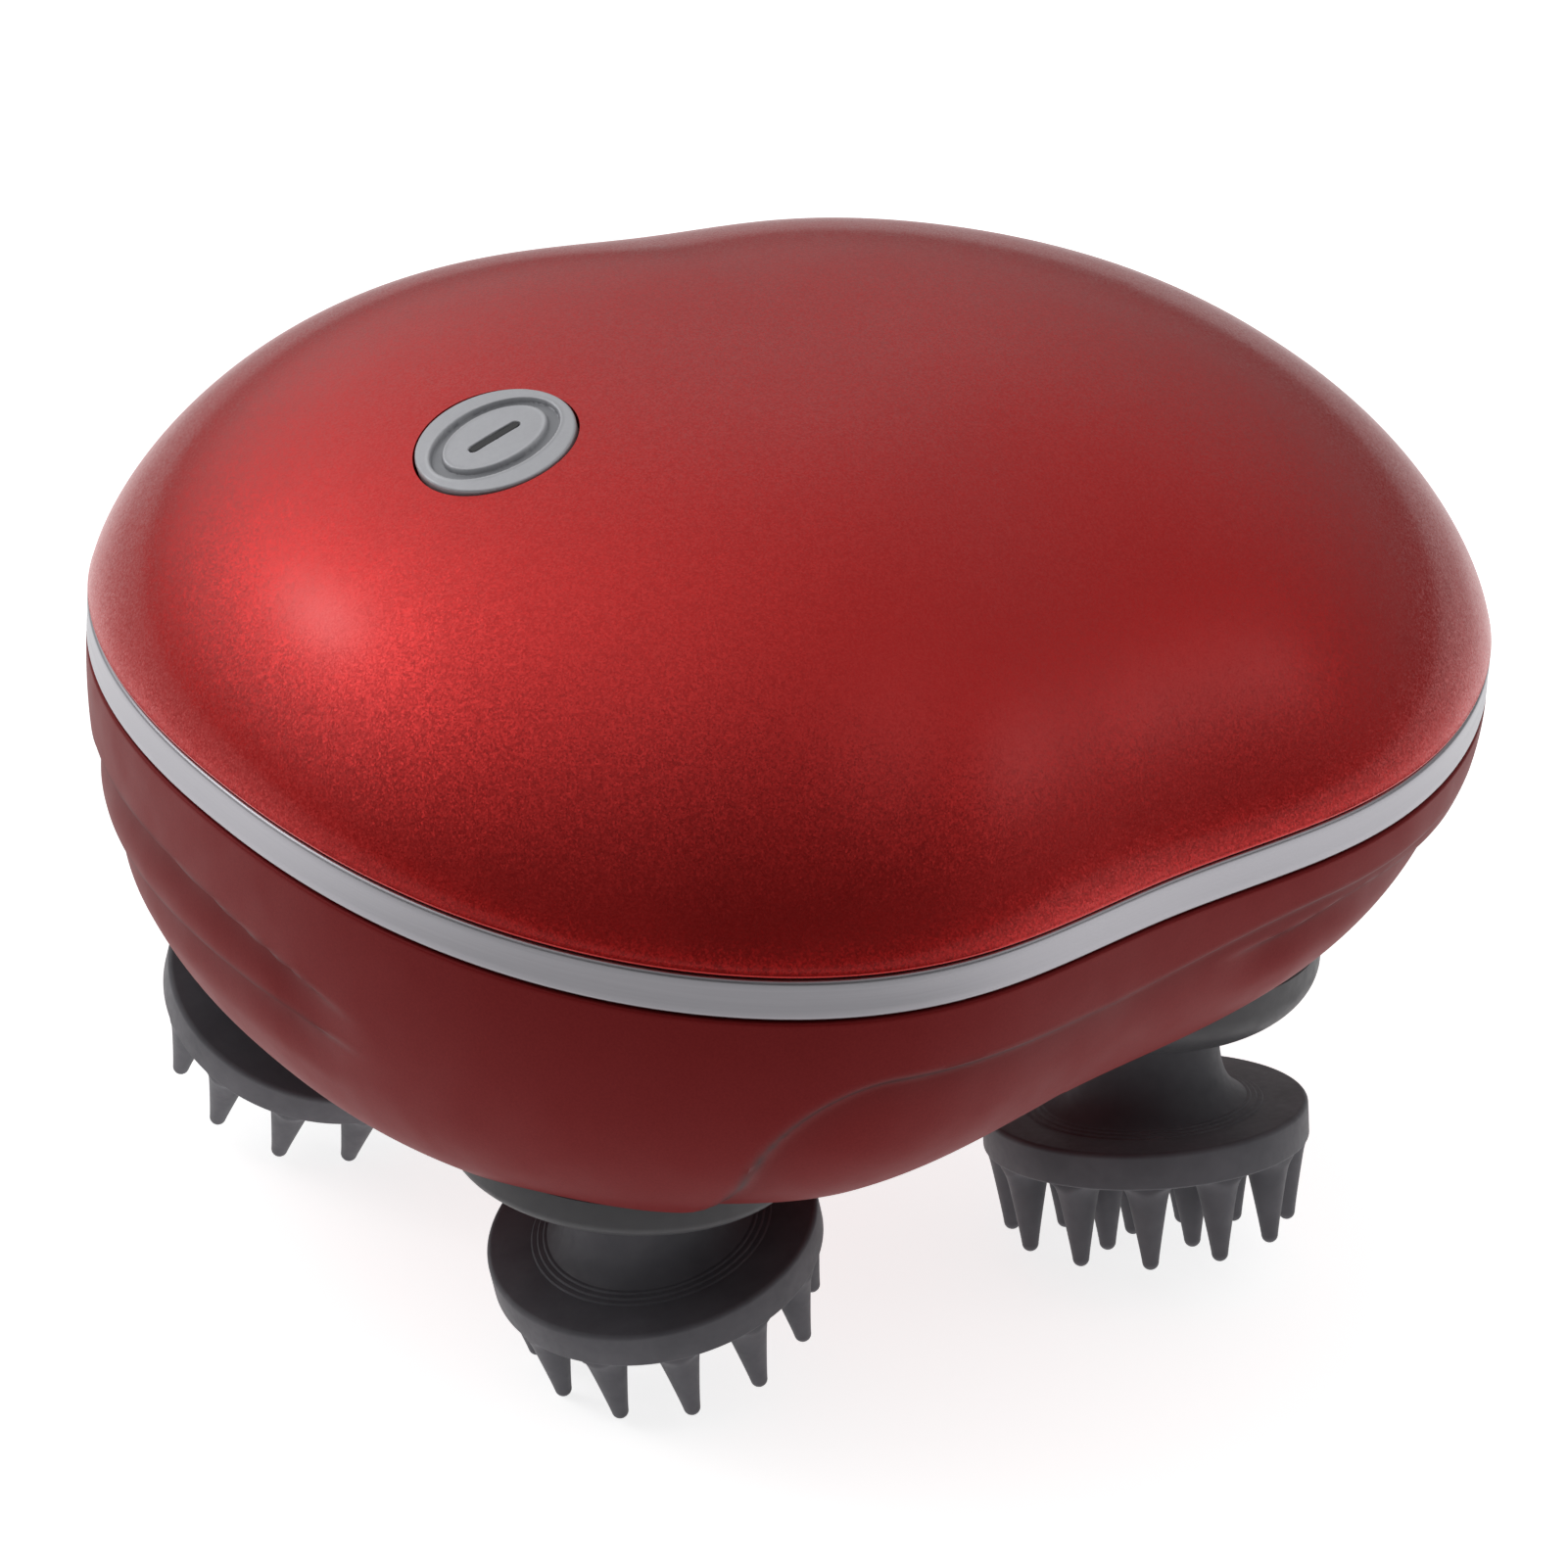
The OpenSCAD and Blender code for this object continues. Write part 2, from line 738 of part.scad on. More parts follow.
module lower_housing() {
    color("maroon")
        difference() {
            union() {
                translate([0, 0, seam_z]) bowl_shell();
                intersection() {
                    union() {
                        at_places(screw_places) rod(post_r, -40, -shell_rim);
                        at_places(pillar_places) rod(4, -40, base_low);
                    }
                    translate([0, 0, seam_z]) bowl_core();
                }
                at_places(screw_places) rod(post_r, -shell_rim - eps, shell_rim - 0.05);
            }
            for (p = head_places)
                translate([p[0], p[1], seam_z]) rod(opening_r, -45, collar_top(p[0]) + 0.6);
            at_places(screw_places) rod(pocket_r, -45, screw_low);
            at_places(screw_places) rod(screw_r + screw_clearance, screw_low - 1, shell_rim);
            at_places(pillar_places)
                rod(gearbox_screw_r + screw_clearance, gearbox_screw_low - 0.5, base_low + 1);
            at_port() {
                translate([0, 0, -6]) linear_extrude(10) port_outline(4.6, 10.6);
                translate([0, 0, -port_thick]) linear_extrude(10) flap_outline(port_gap);
            }
        }
}

module housing_screws() {
    color("silver")
        at_places(screw_places) {
            rod(screw_head_r, screw_low - 1.8, screw_low);
            rod(screw_r, screw_low - eps, shell_rim + 5);
        }
}

// ---- Charging port ----

// A rounded rectangle, x_size down the wall and y_size across it
module port_outline(x_size, y_size) {
    r = 1.2;
    square([x_size - 2 * r, y_size], center = true);
    square([x_size, y_size - 2 * r], center = true);
    for (x = [-1, 1], y = [-1, 1])
        translate([x * (x_size / 2 - r), y * (y_size / 2 - r)]) circle(r = r, $fn = 24);
}

module charging_socket() {
    color("silver")
        at_port()
            difference() {
                translate([0, 0, -10]) linear_extrude(7.5) port_outline(3.2, 9);
                translate([0, 0, -9]) linear_extrude(7.5) port_outline(2.6, 8.4);
            }
}

// Outline of the port's flap, grown by gap: round at its free edge, square at its hinge
module flap_outline(gap) {
    half = [port_size[1] / 2 + gap, port_size[0] / 2 + gap];
    port_outline(2 * half[0], 2 * half[1]);
    translate([-half[0], -half[1]]) square([half[0], 2 * half[1]]);
}

// A flap whose upper edge is a round barrel on the hinge's axis, with a plug behind it
module port_cover() {
    color("black")
        at_port() {
            translate([0, 0, -port_thick])
                linear_extrude(port_thick)
                    intersection() {
                        flap_outline(0);
                        translate([hinge_x, -port_size[0]]) square([port_size[1], 2 * port_size[0]]);
                    }
            translate([hinge_x, port_size[0] / 2, -hinge_r])
                rotate([90, 0, 0])
                    cylinder(r = hinge_r, h = port_size[0]);
            translate([0, 0, -port_thick - 0.6]) linear_extrude(0.6 + eps) port_outline(3.8, 9.8);
        }
}

// ---- Heads ----

// Lower edge of the straight part of the collar, which follows the sloping floor
function collar_level(x) = floor_z(x) + 0.4;
function collar_top(x) = floor_z(x) + wall + 0.6;
function collar_dome(x) = x < 0 ? 3.8 : 7.3;

module crank_shaft(i) {
    color("silver") {
        at_places([head_places[i]]) rod(shaft_r, -elbow_depth, cover_high - 0.2);
        at_head(i) {
            sphere(r = shaft_r + 0.3);
            rod(shaft_r, -head_reach(i) + crank_end, 0);
        }
    }
}

// Two spring clips that hold a crank shaft: over the gear's hub and over the base plate
module shaft_clips(i) {
    color("silver")
        at_places([head_places[i]])
            for (low = [fine_high, base_top])
                difference() {
                    rod(4.4, low, low + 0.6);
                    rod(shaft_r, low - 1, low + 2);
                }
}

// Outline of the neck, from the disc up, as [radius, height over the disc's middle]
function neck_profile(i, more) =
    let (foot = disc_thick / 2 + step_high, top = head_reach(i) + 1)
    concat([for (k = [0 : 6]) let (h = 4.5 * k / 6)
        [neck_r + more + neck_flare * exp(-h / 1.5), foot + h]], [[neck_r + more, top + more]]);

module swivel_collar(i) {
    place = head_places[i];
    level = collar_level(place[0]);
    top = collar_top(place[0]);
    arc = [for (a = [90 : -10 : 0])
        [collar_r * sin(a), level - collar_dome(place[0]) * cos(a)]];
    color("dimgray")
        difference() {
            at_places([place]) {
                rotate_extrude($fn = 64) polygon(concat([[0, top], [collar_r, top]], arc));
                rod(hub_r + 1, top - eps, top + 3.5);
            }
            at_places([place]) rod(shaft_r, -50, top + 5);
            at_head(i) sphere(r = neck_bore_r);
            at_head(i)
                translate([0, 0, -head_reach(i)])
                    rotate_extrude($fn = 64)
                        polygon(concat([[0, 0]], [[neck_r + neck_flare, 0]], neck_profile(i, 0.03),
                            [[0, head_reach(i) + 1.03]]));
        }
}

module head_core(i) {
    color("whitesmoke")
        at_head(i)
            translate([0, 0, -head_reach(i)])
                difference() {
                    union() {
                        rod(core_r, 0, head_reach(i) - shaft_r - 0.5);
                        rod(core_flange_r, -0.9, 0.3);
                    }
                    rod(shaft_r, crank_end, head_reach(i));
                }
}

module spike() {
    tip_z = spike_tip_r - spike_length;
    taper = [for (k = [0 : 4]) let (s = k / 4)
        [spike_tip_r + (spike_base_r - spike_tip_r) * pow(1 - s, 1.2), 0.1 + s * (tip_z - 0.1)]];
    tip = [for (a = [30 : 30 : 90]) [spike_tip_r * cos(a), tip_z - spike_tip_r * sin(a)]];
    translate([0, 0, -disc_thick / 2])
        rotate_extrude($fn = 24)
            polygon(concat([[0, 0.6], [spike_base_r, 0.6]], taper, tip));
}

module massage_head(i) {
    half = disc_thick / 2;
    foot = half + step_high;
    lower_edge = [[disc_r - 0.3, -half], [disc_r, -half + 0.3]];
    upper_edge = [for (a = [0 : 30 : 90]) [disc_r - 0.5 + 0.5 * cos(a), half - 0.5 + 0.5 * sin(a)]];
    bore = [[neck_bore_r, head_reach(i) + 1], [neck_bore_r, head_reach(i) - shaft_r - 0.5],
        [core_r, head_reach(i) - shaft_r - 0.5], [core_r, 0.3], [core_flange_r, 0.3],
        [core_flange_r, -0.9], [0, -0.9]];
    color("darkslategray")
        at_head(i)
            translate([0, 0, -head_reach(i)]) {
                rotate_extrude($fn = 64)
                    polygon(concat([[0, -half]], lower_edge, upper_edge,
                        [[step_r, half], [step_r, foot]], neck_profile(i, 0), bore));
                for (ring = spike_rings, k = [0 : ring[1] - 1])
                    rotate([0, 0, k * 360 / ring[1]]) translate([ring[0], 0, 0]) spike();
            }
}

module output_gear_front_right() { output_gear(0); }
module output_gear_front_left() { output_gear(1); }
module output_gear_rear_right() { output_gear(2); }
module output_gear_rear_left() { output_gear(3); }
module crank_shaft_front_right() { crank_shaft(0); }
module crank_shaft_front_left() { crank_shaft(1); }
module crank_shaft_rear_right() { crank_shaft(2); }
module crank_shaft_rear_left() { crank_shaft(3); }
module shaft_clips_front_right() { shaft_clips(0); }
module shaft_clips_front_left() { shaft_clips(1); }
module shaft_clips_rear_right() { shaft_clips(2); }
module shaft_clips_rear_left() { shaft_clips(3); }
module swivel_collar_front_right() { swivel_collar(0); }
module swivel_collar_front_left() { swivel_collar(1); }
module swivel_collar_rear_right() { swivel_collar(2); }
module swivel_collar_rear_left() { swivel_collar(3); }
module head_core_front_right() { head_core(0); }
module head_core_front_left() { head_core(1); }
module head_core_rear_right() { head_core(2); }
module head_core_rear_left() { head_core(3); }
module massage_head_front_right() { massage_head(0); }
module massage_head_front_left() { massage_head(1); }
module massage_head_rear_right() { massage_head(2); }
module massage_head_rear_left() { massage_head(3); }

top_cover();
trim_ring();
lower_housing();
housing_gasket();
housing_screws();
power_button();
button_window();
switch_plunger();
tact_switch();
status_led();
control_board();
board_chips();
board_screws();
battery_cell();
battery_cradle();
battery_leads();
motor_can();
motor_end_cap();
motor_magnets();
motor_armature();
motor_pinion();
motor_screws();
motor_leads();
gearbox_base();
gearbox_cover();
gearbox_screws();
reduction_gear();
reduction_axle();
drive_gear_left();
drive_gear_right();
drive_axles();
lower_bushes();
upper_bushes();
charging_socket();
port_cover();
output_gear_front_right();
output_gear_front_left();
output_gear_rear_right();
output_gear_rear_left();
crank_shaft_front_right();
crank_shaft_front_left();
crank_shaft_rear_right();
crank_shaft_rear_left();
shaft_clips_front_right();
shaft_clips_front_left();
shaft_clips_rear_right();
shaft_clips_rear_left();
swivel_collar_front_right();
swivel_collar_front_left();
swivel_collar_rear_right();
swivel_collar_rear_left();
head_core_front_right();
head_core_front_left();
head_core_rear_right();
head_core_rear_left();
massage_head_front_right();
massage_head_front_left();
massage_head_rear_right();
massage_head_rear_left();
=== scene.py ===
"""Looks of the cordless scalp massager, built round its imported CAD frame."""

import math

import bpy
import numpy as np
from mathutils import Matrix, Vector


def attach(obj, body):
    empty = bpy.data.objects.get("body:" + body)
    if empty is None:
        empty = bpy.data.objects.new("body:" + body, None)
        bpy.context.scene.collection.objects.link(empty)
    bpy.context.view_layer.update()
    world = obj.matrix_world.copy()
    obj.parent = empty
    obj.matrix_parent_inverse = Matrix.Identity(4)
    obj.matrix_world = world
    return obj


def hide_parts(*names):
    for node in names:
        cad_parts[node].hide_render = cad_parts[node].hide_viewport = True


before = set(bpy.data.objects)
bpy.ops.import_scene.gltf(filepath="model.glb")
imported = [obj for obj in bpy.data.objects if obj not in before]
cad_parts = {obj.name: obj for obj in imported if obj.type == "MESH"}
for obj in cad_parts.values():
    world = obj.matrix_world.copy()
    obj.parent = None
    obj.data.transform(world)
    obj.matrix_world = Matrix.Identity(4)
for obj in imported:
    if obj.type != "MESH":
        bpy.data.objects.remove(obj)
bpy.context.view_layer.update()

MM = 0.001

# ---- Sizes, in millimetres and degrees. They follow the CAD part; small edges, the button's groove
# and the feet of the spikes are the skins' own ----

BODY_LENGTH = 124.6
BODY_WIDTH = 115.8
OUTLINE_POWER = 2.2
OUTLINE_TAPER = 0.15
WAIST_DEPTH = 0.09
WAIST_X = 1.6
WAIST_REACH = 24.6
SEAM_Z = 53.3
DOME_HEIGHT = 30.1
DOME_RISE = 1.384
DOME_DRAW = 2.957
DOME_DRAW_CHANGE = -0.181
DOME_LEAN = -0.022
BOWL_DEPTH = 24
BOWL_SLOPE = 0.228
FLOOR_SHARE = 0.587
FLOOR_SHIFT = 9.1
BOWL_RISE = 2.071
BOWL_DRAW = 2.469
WALL = 2.2
TRIM_HEIGHT = 3.8
TRIM_DEPTH = 3
TRIM_EDGE = 0.42
TRIM_HOLLOW = 0.10
SHELL_RIM = 2.1
HALF_LENGTH = BODY_LENGTH / 2
HALF_WIDTH = BODY_WIDTH / 2

BUTTON_PLACE = (-35.6, 0, 81.976)
BUTTON_SLOPE = 19
BUTTON_R = 7.1
BUTTON_GAP = 0.25
BUTTON_EDGE = 0.25
BUTTON_FLANGE = 1.1
BUTTON_FLANGE_Z = (-5.4, -4.6)
BUTTON_PROUD = 0.3
BUTTON_FACE_R = 76
GROOVE = (5.5, 4.3)
GROOVE_HALF = 0.55
GROOVE_DEPTH = 0.45
WINDOW = (4.9, 0.7)

HEADS = ("front_right", "front_left", "rear_right", "rear_left")
HEAD_PLACES = ((-33.7, -23.206), (-33.7, 23.206), (21.3, -23.206), (21.3, 23.206))
HEAD_TILT = (17, 23, 13, 17)
HEAD_LEAN = (183, 258, 84, 0)
ELBOW_DEPTH = 28.5
DISC_R = 14.7
DISC_HALF = 1.71
DISC_EDGE = 0.5
DISC_LOW_EDGE = 0.22
STEP_R = 10.7
STEP_HIGH = 0.45
STEP_COUNT = 3
NECK_R = 6.8
NECK_FLARE = 2.4
NECK_FLARE_HIGH = 6
NECK_GAP = 0.12
SPIKE_RINGS = ((12.4, 12), (7.6, 6), (3, 3))
SPIKE_LENGTH = 8.2
SPIKE_TIP_R = 0.75
SPIKE_BASE_R = 2.05
SPIKE_FLARE = 0.55
COLLAR_R = 15.8
COLLAR_EDGE = 0.3
COLLAR_DROP_FRONT = 3.8
COLLAR_DROP_REAR = 7.3
OPENING_R = 16.2

SCREW_PLACES = ((-51, 0), (44, 0), (-6.2, 44), (-6.2, -44))
SCREW_LOW = -9
SCREW_POST_R = 3.6
SCREW_POCKET_R = 3
SCREW_HOLE_R = 1.45
PORT_PLACE = (60.9, 0, 46.9)
PORT_TURN = 105
PORT_SIZE = (6.5, 13)
PORT_THICK = 1.3
PORT_CORNER = 1.2
PORT_GAP = 0.4
PORT_TUNNEL = (4.6, 10.6)
PORT_PLUG = (3.8, 9.8)
PORT_LIP = (0.7, 5.5)
PORT_LIP_X = 2.35


def smooth(v):
    """A smooth step from 0 at v = 0 to 1 at v = 1."""
    v = np.clip(v, 0, 1)
    return v * v * (3 - 2 * v)


def rise(v, start, length):
    """A smooth step in v, which begins at start and takes this length."""
    return smooth((v - start) / length)


def power_of(v, p):
    """v to the power p, with v's sign kept."""
    return np.sign(v) * np.abs(v) ** p


def outline(angles, inset=0.0):
    """The body's outline at these angles, with both half sizes made less by inset."""
    x = (HALF_LENGTH - inset) * power_of(np.cos(angles), 2 / OUTLINE_POWER)
    y = (HALF_WIDTH - inset) * power_of(np.sin(angles), 2 / OUTLINE_POWER)
    waist = 1 - WAIST_DEPTH * np.exp(-(((x - WAIST_X) / WAIST_REACH) ** 2))
    return x, y * (1 - OUTLINE_TAPER * x / (HALF_LENGTH - inset)) * waist


def round_angles(count):
    """Angles once round a circle, from +X."""
    return np.arange(count) * 2 * math.pi / count


# ---- Meshes ----


def add_object(name, points, faces, sharp=40):
    """A smooth-shaded mesh object from points in millimetres."""
    mesh = bpy.data.meshes.new(name)
    mesh.from_pydata((np.asarray(points) * MM).tolist(), [], faces)
    mesh.update()
    mesh.shade_smooth()
    mesh.set_sharp_from_angle(angle=math.radians(sharp))
    obj = bpy.data.objects.new(name, mesh)
    bpy.context.scene.collection.objects.link(obj)
    return obj


def loft(rings, first=None, last=None, closed=False):
    """Points and faces over closed rings, with a fan from a middle point at either end."""
    rings = [np.asarray(ring, float) for ring in rings]
    n = len(rings[0])
    points = np.concatenate(rings)
    faces = []
    pairs = [(k, k + 1) for k in range(len(rings) - 1)]
    if closed:
        pairs.append((len(rings) - 1, 0))
    for a, b in pairs:
        for i in range(n):
            j = (i + 1) % n
            faces.append((a * n + i, a * n + j, b * n + j, b * n + i))
    for middle, ring, turned in ((first, 0, True), (last, len(rings) - 1, False)):
        if middle is None:
            continue
        points = np.vstack([points, middle])
        top = len(points) - 1
        for i in range(n):
            j = (i + 1) % n
            a, b = ring * n + i, ring * n + j
            faces.append((top, b, a) if turned else (top, a, b))
    return points, faces


def moved(points, place):
    """Points in millimetres, taken through a 4x4 matrix."""
    m = np.array(place)
    return np.asarray(points) @ m[:3, :3].T + m[:3, 3]


def turned(profile, count, place=None):
    """Points and faces of a profile of (radius, height), turned about Z. Ends at radius 0 become points."""
    angles = round_angles(count)
    profile = list(profile)
    first = last = None
    if profile[0][0] == 0:
        first = (0, 0, profile.pop(0)[1])
    if profile[-1][0] == 0:
        last = (0, 0, profile.pop()[1])
    rings = [
        np.stack([r * np.cos(angles), r * np.sin(angles), np.full(count, z)], -1)
        for r, z in profile
    ]
    closed = first is None and last is None
    points, faces = loft(rings, first, last, closed)
    if place is not None:
        points = moved(points, place)
    return points, faces


def joined(parts):
    """Several (points, faces) pairs as one."""
    points, faces, start = [], [], 0
    for part_points, part_faces in parts:
        points.append(part_points)
        faces += [tuple(i + start for i in face) for face in part_faces]
        start += len(part_points)
    return np.concatenate(points), faces


def arc(centre, r, start, end, count):
    """Points of an arc in a profile, from start to end in degrees."""
    angles = [math.radians(start + (end - start) * k / count) for k in range(count + 1)]
    return [(centre[0] + r * math.cos(a), centre[1] + r * math.sin(a)) for a in angles]


def add_mark(obj, values):
    """Stores one value from 0 to 1 at each point, which the material reads as painted shade."""
    mark = obj.data.attributes.new("painted_shade", "FLOAT", "POINT")
    mark.data.foreach_set("value", values.astype(np.float32))


def combine(obj, other, operation, sharp=40):
    """Applies a boolean of obj with other, and deletes other."""
    modifier = obj.modifiers.new("combine", "BOOLEAN")
    modifier.operation = operation
    modifier.object = other
    modifier.solver = "EXACT"
    graph = bpy.context.evaluated_depsgraph_get()
    mesh = bpy.data.meshes.new_from_object(obj.evaluated_get(graph))
    obj.modifiers.clear()
    old = obj.data
    obj.data = mesh
    bpy.data.meshes.remove(old)
    bpy.data.objects.remove(other)
    mesh.shade_smooth()
    mesh.set_sharp_from_angle(angle=math.radians(sharp))


def at(x, y, z=0.0):
    """A shift in millimetres."""
    return Matrix.Translation((x, y, z))


def turn_about(axis, degrees):
    """A turn about one axis of the frame."""
    return Matrix.Rotation(math.radians(degrees), 4, axis)


# ---- Materials ----

# Sockets of Blender's Mix node: two numbers, two colours and the mixed colour
MIX_NUMBER_A, MIX_NUMBER_B = 2, 3
MIX_COLOR_A, MIX_COLOR_B, MIX_COLOR_OUT = 6, 7, 2


class Shader:
    """A Principled material and short calls that add nodes to it."""

    def __init__(self, name, roughness=0.5, metallic=0.0):
        self.material = bpy.data.materials.new(name)
        self.material.use_nodes = True
        self.tree = self.material.node_tree
        self.main = self.tree.nodes["Principled BSDF"]
        self.set("Roughness", roughness)
        self.set("Metallic", metallic)
        self.place = self.node("ShaderNodeTexCoord").outputs["Object"]

    def node(self, kind, **values):
        """A new node with these properties set."""
        made = self.tree.nodes.new(kind)
        for key, value in values.items():
            setattr(made, key, value)
        return made

    def link(self, start, end):
        self.tree.links.new(start, end)

    def set(self, socket, value):
        """Sets one of the main shader's plain values."""
        self.main.inputs[socket].default_value = value

    def noise(self, scale, detail=3.0, stretch=None):
        """A noise of this many cells a metre, from 0 to 1."""
        made = self.node("ShaderNodeTexNoise")
        made.inputs["Scale"].default_value = scale
        made.inputs["Detail"].default_value = detail
        vector = self.place
        if stretch:
            mapping = self.node("ShaderNodeMapping")
            mapping.inputs["Scale"].default_value = stretch
            self.link(self.place, mapping.inputs["Vector"])
            vector = mapping.outputs["Vector"]
        self.link(vector, made.inputs["Vector"])
        return made.outputs["Fac"]

    def ramp(self, value, low, high, start=0.3, end=0.7):
        """Maps a value from start..end to low..high."""
        made = self.node("ShaderNodeMapRange")
        made.inputs["From Min"].default_value = start
        made.inputs["From Max"].default_value = end
        made.inputs["To Min"].default_value = low
        made.inputs["To Max"].default_value = high
        self.link(value, made.inputs["Value"])
        return made.outputs["Result"]

    def mix(self, factor, first, second):
        """Mixes two colours by a factor socket; a colour is a tuple or a socket."""
        made = self.node("ShaderNodeMix", data_type="RGBA")
        self.link(factor, made.inputs["Factor"])
        for socket, value in ((MIX_COLOR_A, first), (MIX_COLOR_B, second)):
            if isinstance(value, tuple):
                made.inputs[socket].default_value = (*value, 1)
            else:
                self.link(value, made.inputs[socket])
        return made.outputs[MIX_COLOR_OUT]

    def painted_shade(self, share):
        """The mesh's painted-shade mark, scaled to at most this share."""
        mark = self.node("ShaderNodeAttribute", attribute_name="painted_shade")
        return self.ramp(mark.outputs["Fac"], 0.0, share, 0.0, 1.0)

    def color(self, value):
        """Takes the base colour from a socket."""
        self.link(value, self.main.inputs["Base Color"])

    def roughness(self, value):
        """Takes the roughness from a socket."""
        self.link(value, self.main.inputs["Roughness"])

    def bump(self, height, distance, strength=1.0):
        """A bump whose distance is in millimetres."""
        made = self.node("ShaderNodeBump")
        made.inputs["Strength"].default_value = strength
        made.inputs["Distance"].default_value = distance * MM
        self.link(height, made.inputs["Height"])
        self.link(made.outputs["Normal"], self.main.inputs["Normal"])

    def flake_normal(self, scale, amount):
        """Normals that turn a little from one small flake to the next. Returns the flakes' tones."""
        cells = self.node("ShaderNodeTexVoronoi")
        cells.inputs["Scale"].default_value = scale
        self.link(self.place, cells.inputs["Vector"])
        shift = self.node("ShaderNodeVectorMath", operation="SUBTRACT")
        self.link(cells.outputs["Color"], shift.inputs[0])
        shift.inputs[1].default_value = (0.5, 0.5, 0.5)
        size = self.node("ShaderNodeVectorMath", operation="SCALE")
        self.link(shift.outputs[0], size.inputs[0])
        size.inputs["Scale"].default_value = amount
        surface = self.node("ShaderNodeNewGeometry")
        total = self.node("ShaderNodeVectorMath", operation="ADD")
        self.link(surface.outputs["Normal"], total.inputs[0])
        self.link(size.outputs[0], total.inputs[1])
        unit = self.node("ShaderNodeVectorMath", operation="NORMALIZE")
        self.link(total.outputs[0], unit.inputs[0])
        self.link(unit.outputs[0], self.main.inputs["Normal"])
        return cells.outputs["Color"]


def red_lacquer():
    """Metallic red paint with fine flake under a satin clear coat."""
    shader = Shader("red_flake_lacquer", roughness=0.36, metallic=0.85)
    flake = shader.flake_normal(6500, 0.20)
    tone = shader.mix(shader.noise(900, 2), (0.54, 0.012, 0.012), (0.60, 0.016, 0.015))
    shader.color(shader.mix(shader.ramp(flake, 0.0, 0.35, 0.2, 0.9), tone, (0.68, 0.04, 0.035)))
    shader.roughness(shader.ramp(shader.noise(160, 4), 0.34, 0.4))
    shader.set("Coat Weight", 0.42)
    shader.set("Coat Roughness", 0.14)
    shader.set("Coat IOR", 1.45)
    return shader.material


def red_matt():
    """Satin-matt red plastic of the lower housing, with a fine moulded grain and painted shade along its
    moulded steps.
    """
    shader = Shader("red_satin_plastic", roughness=0.5, metallic=0.2)
    tone = shader.mix(shader.noise(60, 3), (0.20, 0.006, 0.007), (0.225, 0.008, 0.009))
    tone = shader.mix(shader.ramp(shader.noise(5200, 2), 0.0, 0.5), tone, (0.28, 0.016, 0.016))
    # Painted shade: darker along the moulded steps, where their shade falls
    shader.color(shader.mix(shader.painted_shade(0.85), tone, (0.03, 0.003, 0.004)))
    shader.roughness(shader.ramp(shader.noise(220, 4), 0.46, 0.54))
    shader.bump(shader.noise(3800, 2), 0.012, 0.6)
    shader.set("Specular IOR Level", 0.18)
    return shader.material


def satin_silver():
    """Satin-brushed silver plating, its lines running along the band."""
    shader = Shader("satin_silver", roughness=0.32, metallic=0.9)
    lines = shader.noise(500, 3, (0.12, 0.12, 9.0))
    shader.color(shader.mix(lines, (0.40, 0.39, 0.42), (0.50, 0.49, 0.52)))
    shader.roughness(shader.ramp(lines, 0.28, 0.38))
    shader.bump(lines, 0.01, 0.5)
    return shader.material


def button_paint():
    """Soft-touch blue-grey of the button cap, with painted shade in its groove and slot."""
    shader = Shader("button_grey", roughness=0.46, metallic=0.45)
    tone = shader.mix(shader.noise(2600, 3), (0.57, 0.575, 0.605), (0.63, 0.635, 0.665))
    # Painted shade: darker in the groove and slot
    shader.color(shader.mix(shader.painted_shade(0.62), tone, (0.16, 0.165, 0.18)))
    shader.roughness(shader.ramp(shader.noise(700, 3), 0.4, 0.52))
    shader.bump(shader.noise(4200, 2), 0.008, 0.5)
    return shader.material


def silicone():
    """Dark grey silicone: a soft sheen, a faint bloom and a very fine skin."""
    shader = Shader("grey_silicone", roughness=0.58)
    bloom = shader.noise(240, 5)
    shader.color(shader.mix(shader.ramp(bloom, 0.0, 1.0), (0.080, 0.078, 0.090), (0.112, 0.108, 0.123)))
    shader.roughness(shader.ramp(shader.noise(1400, 3), 0.52, 0.66))
    shader.bump(shader.noise(5200, 2), 0.012, 0.5)
    shader.set("Sheen Weight", 0.15)
    shader.set("Sheen Roughness", 0.4)
    return shader.material


def moulded(name, color, roughness=0.5, grain=3200):
    """A moulded plastic with a fine grain and a slight change of tone."""
    shader = Shader(name, roughness=roughness)
    lighter = tuple(min(1.0, c * 1.18 + 0.004) for c in color)
    shader.color(shader.mix(shader.noise(180, 4), color, lighter))
    shader.roughness(shader.ramp(shader.noise(900, 3), roughness - 0.06, roughness + 0.06))
    shader.bump(shader.noise(grain, 2), 0.015, 0.5)
    return shader.material


def worked_metal(name, color, roughness=0.3, stretch=(1, 1, 14)):
    """A turned or drawn metal with fine tool lines."""
    shader = Shader(name, roughness=roughness, metallic=1.0)
    lines = shader.noise(700, 4, stretch)
    darker = tuple(c * 0.8 for c in color)
    shader.color(shader.mix(lines, darker, color))
    shader.roughness(shader.ramp(lines, roughness - 0.06, roughness + 0.1))
    shader.bump(lines, 0.01, 0.4)
    return shader.material


def laminate():
    """Green circuit-board lacquer over a woven laminate."""
    shader = Shader("board_green", roughness=0.38)
    weave = shader.node("ShaderNodeTexChecker")
    weave.inputs["Scale"].default_value = 1400
    shader.link(shader.place, weave.inputs["Vector"])
    shader.color(shader.mix(weave.outputs["Fac"], (0.01, 0.10, 0.04), (0.012, 0.12, 0.05)))
    shader.bump(shader.noise(1500, 2), 0.01, 0.5)
    return shader.material


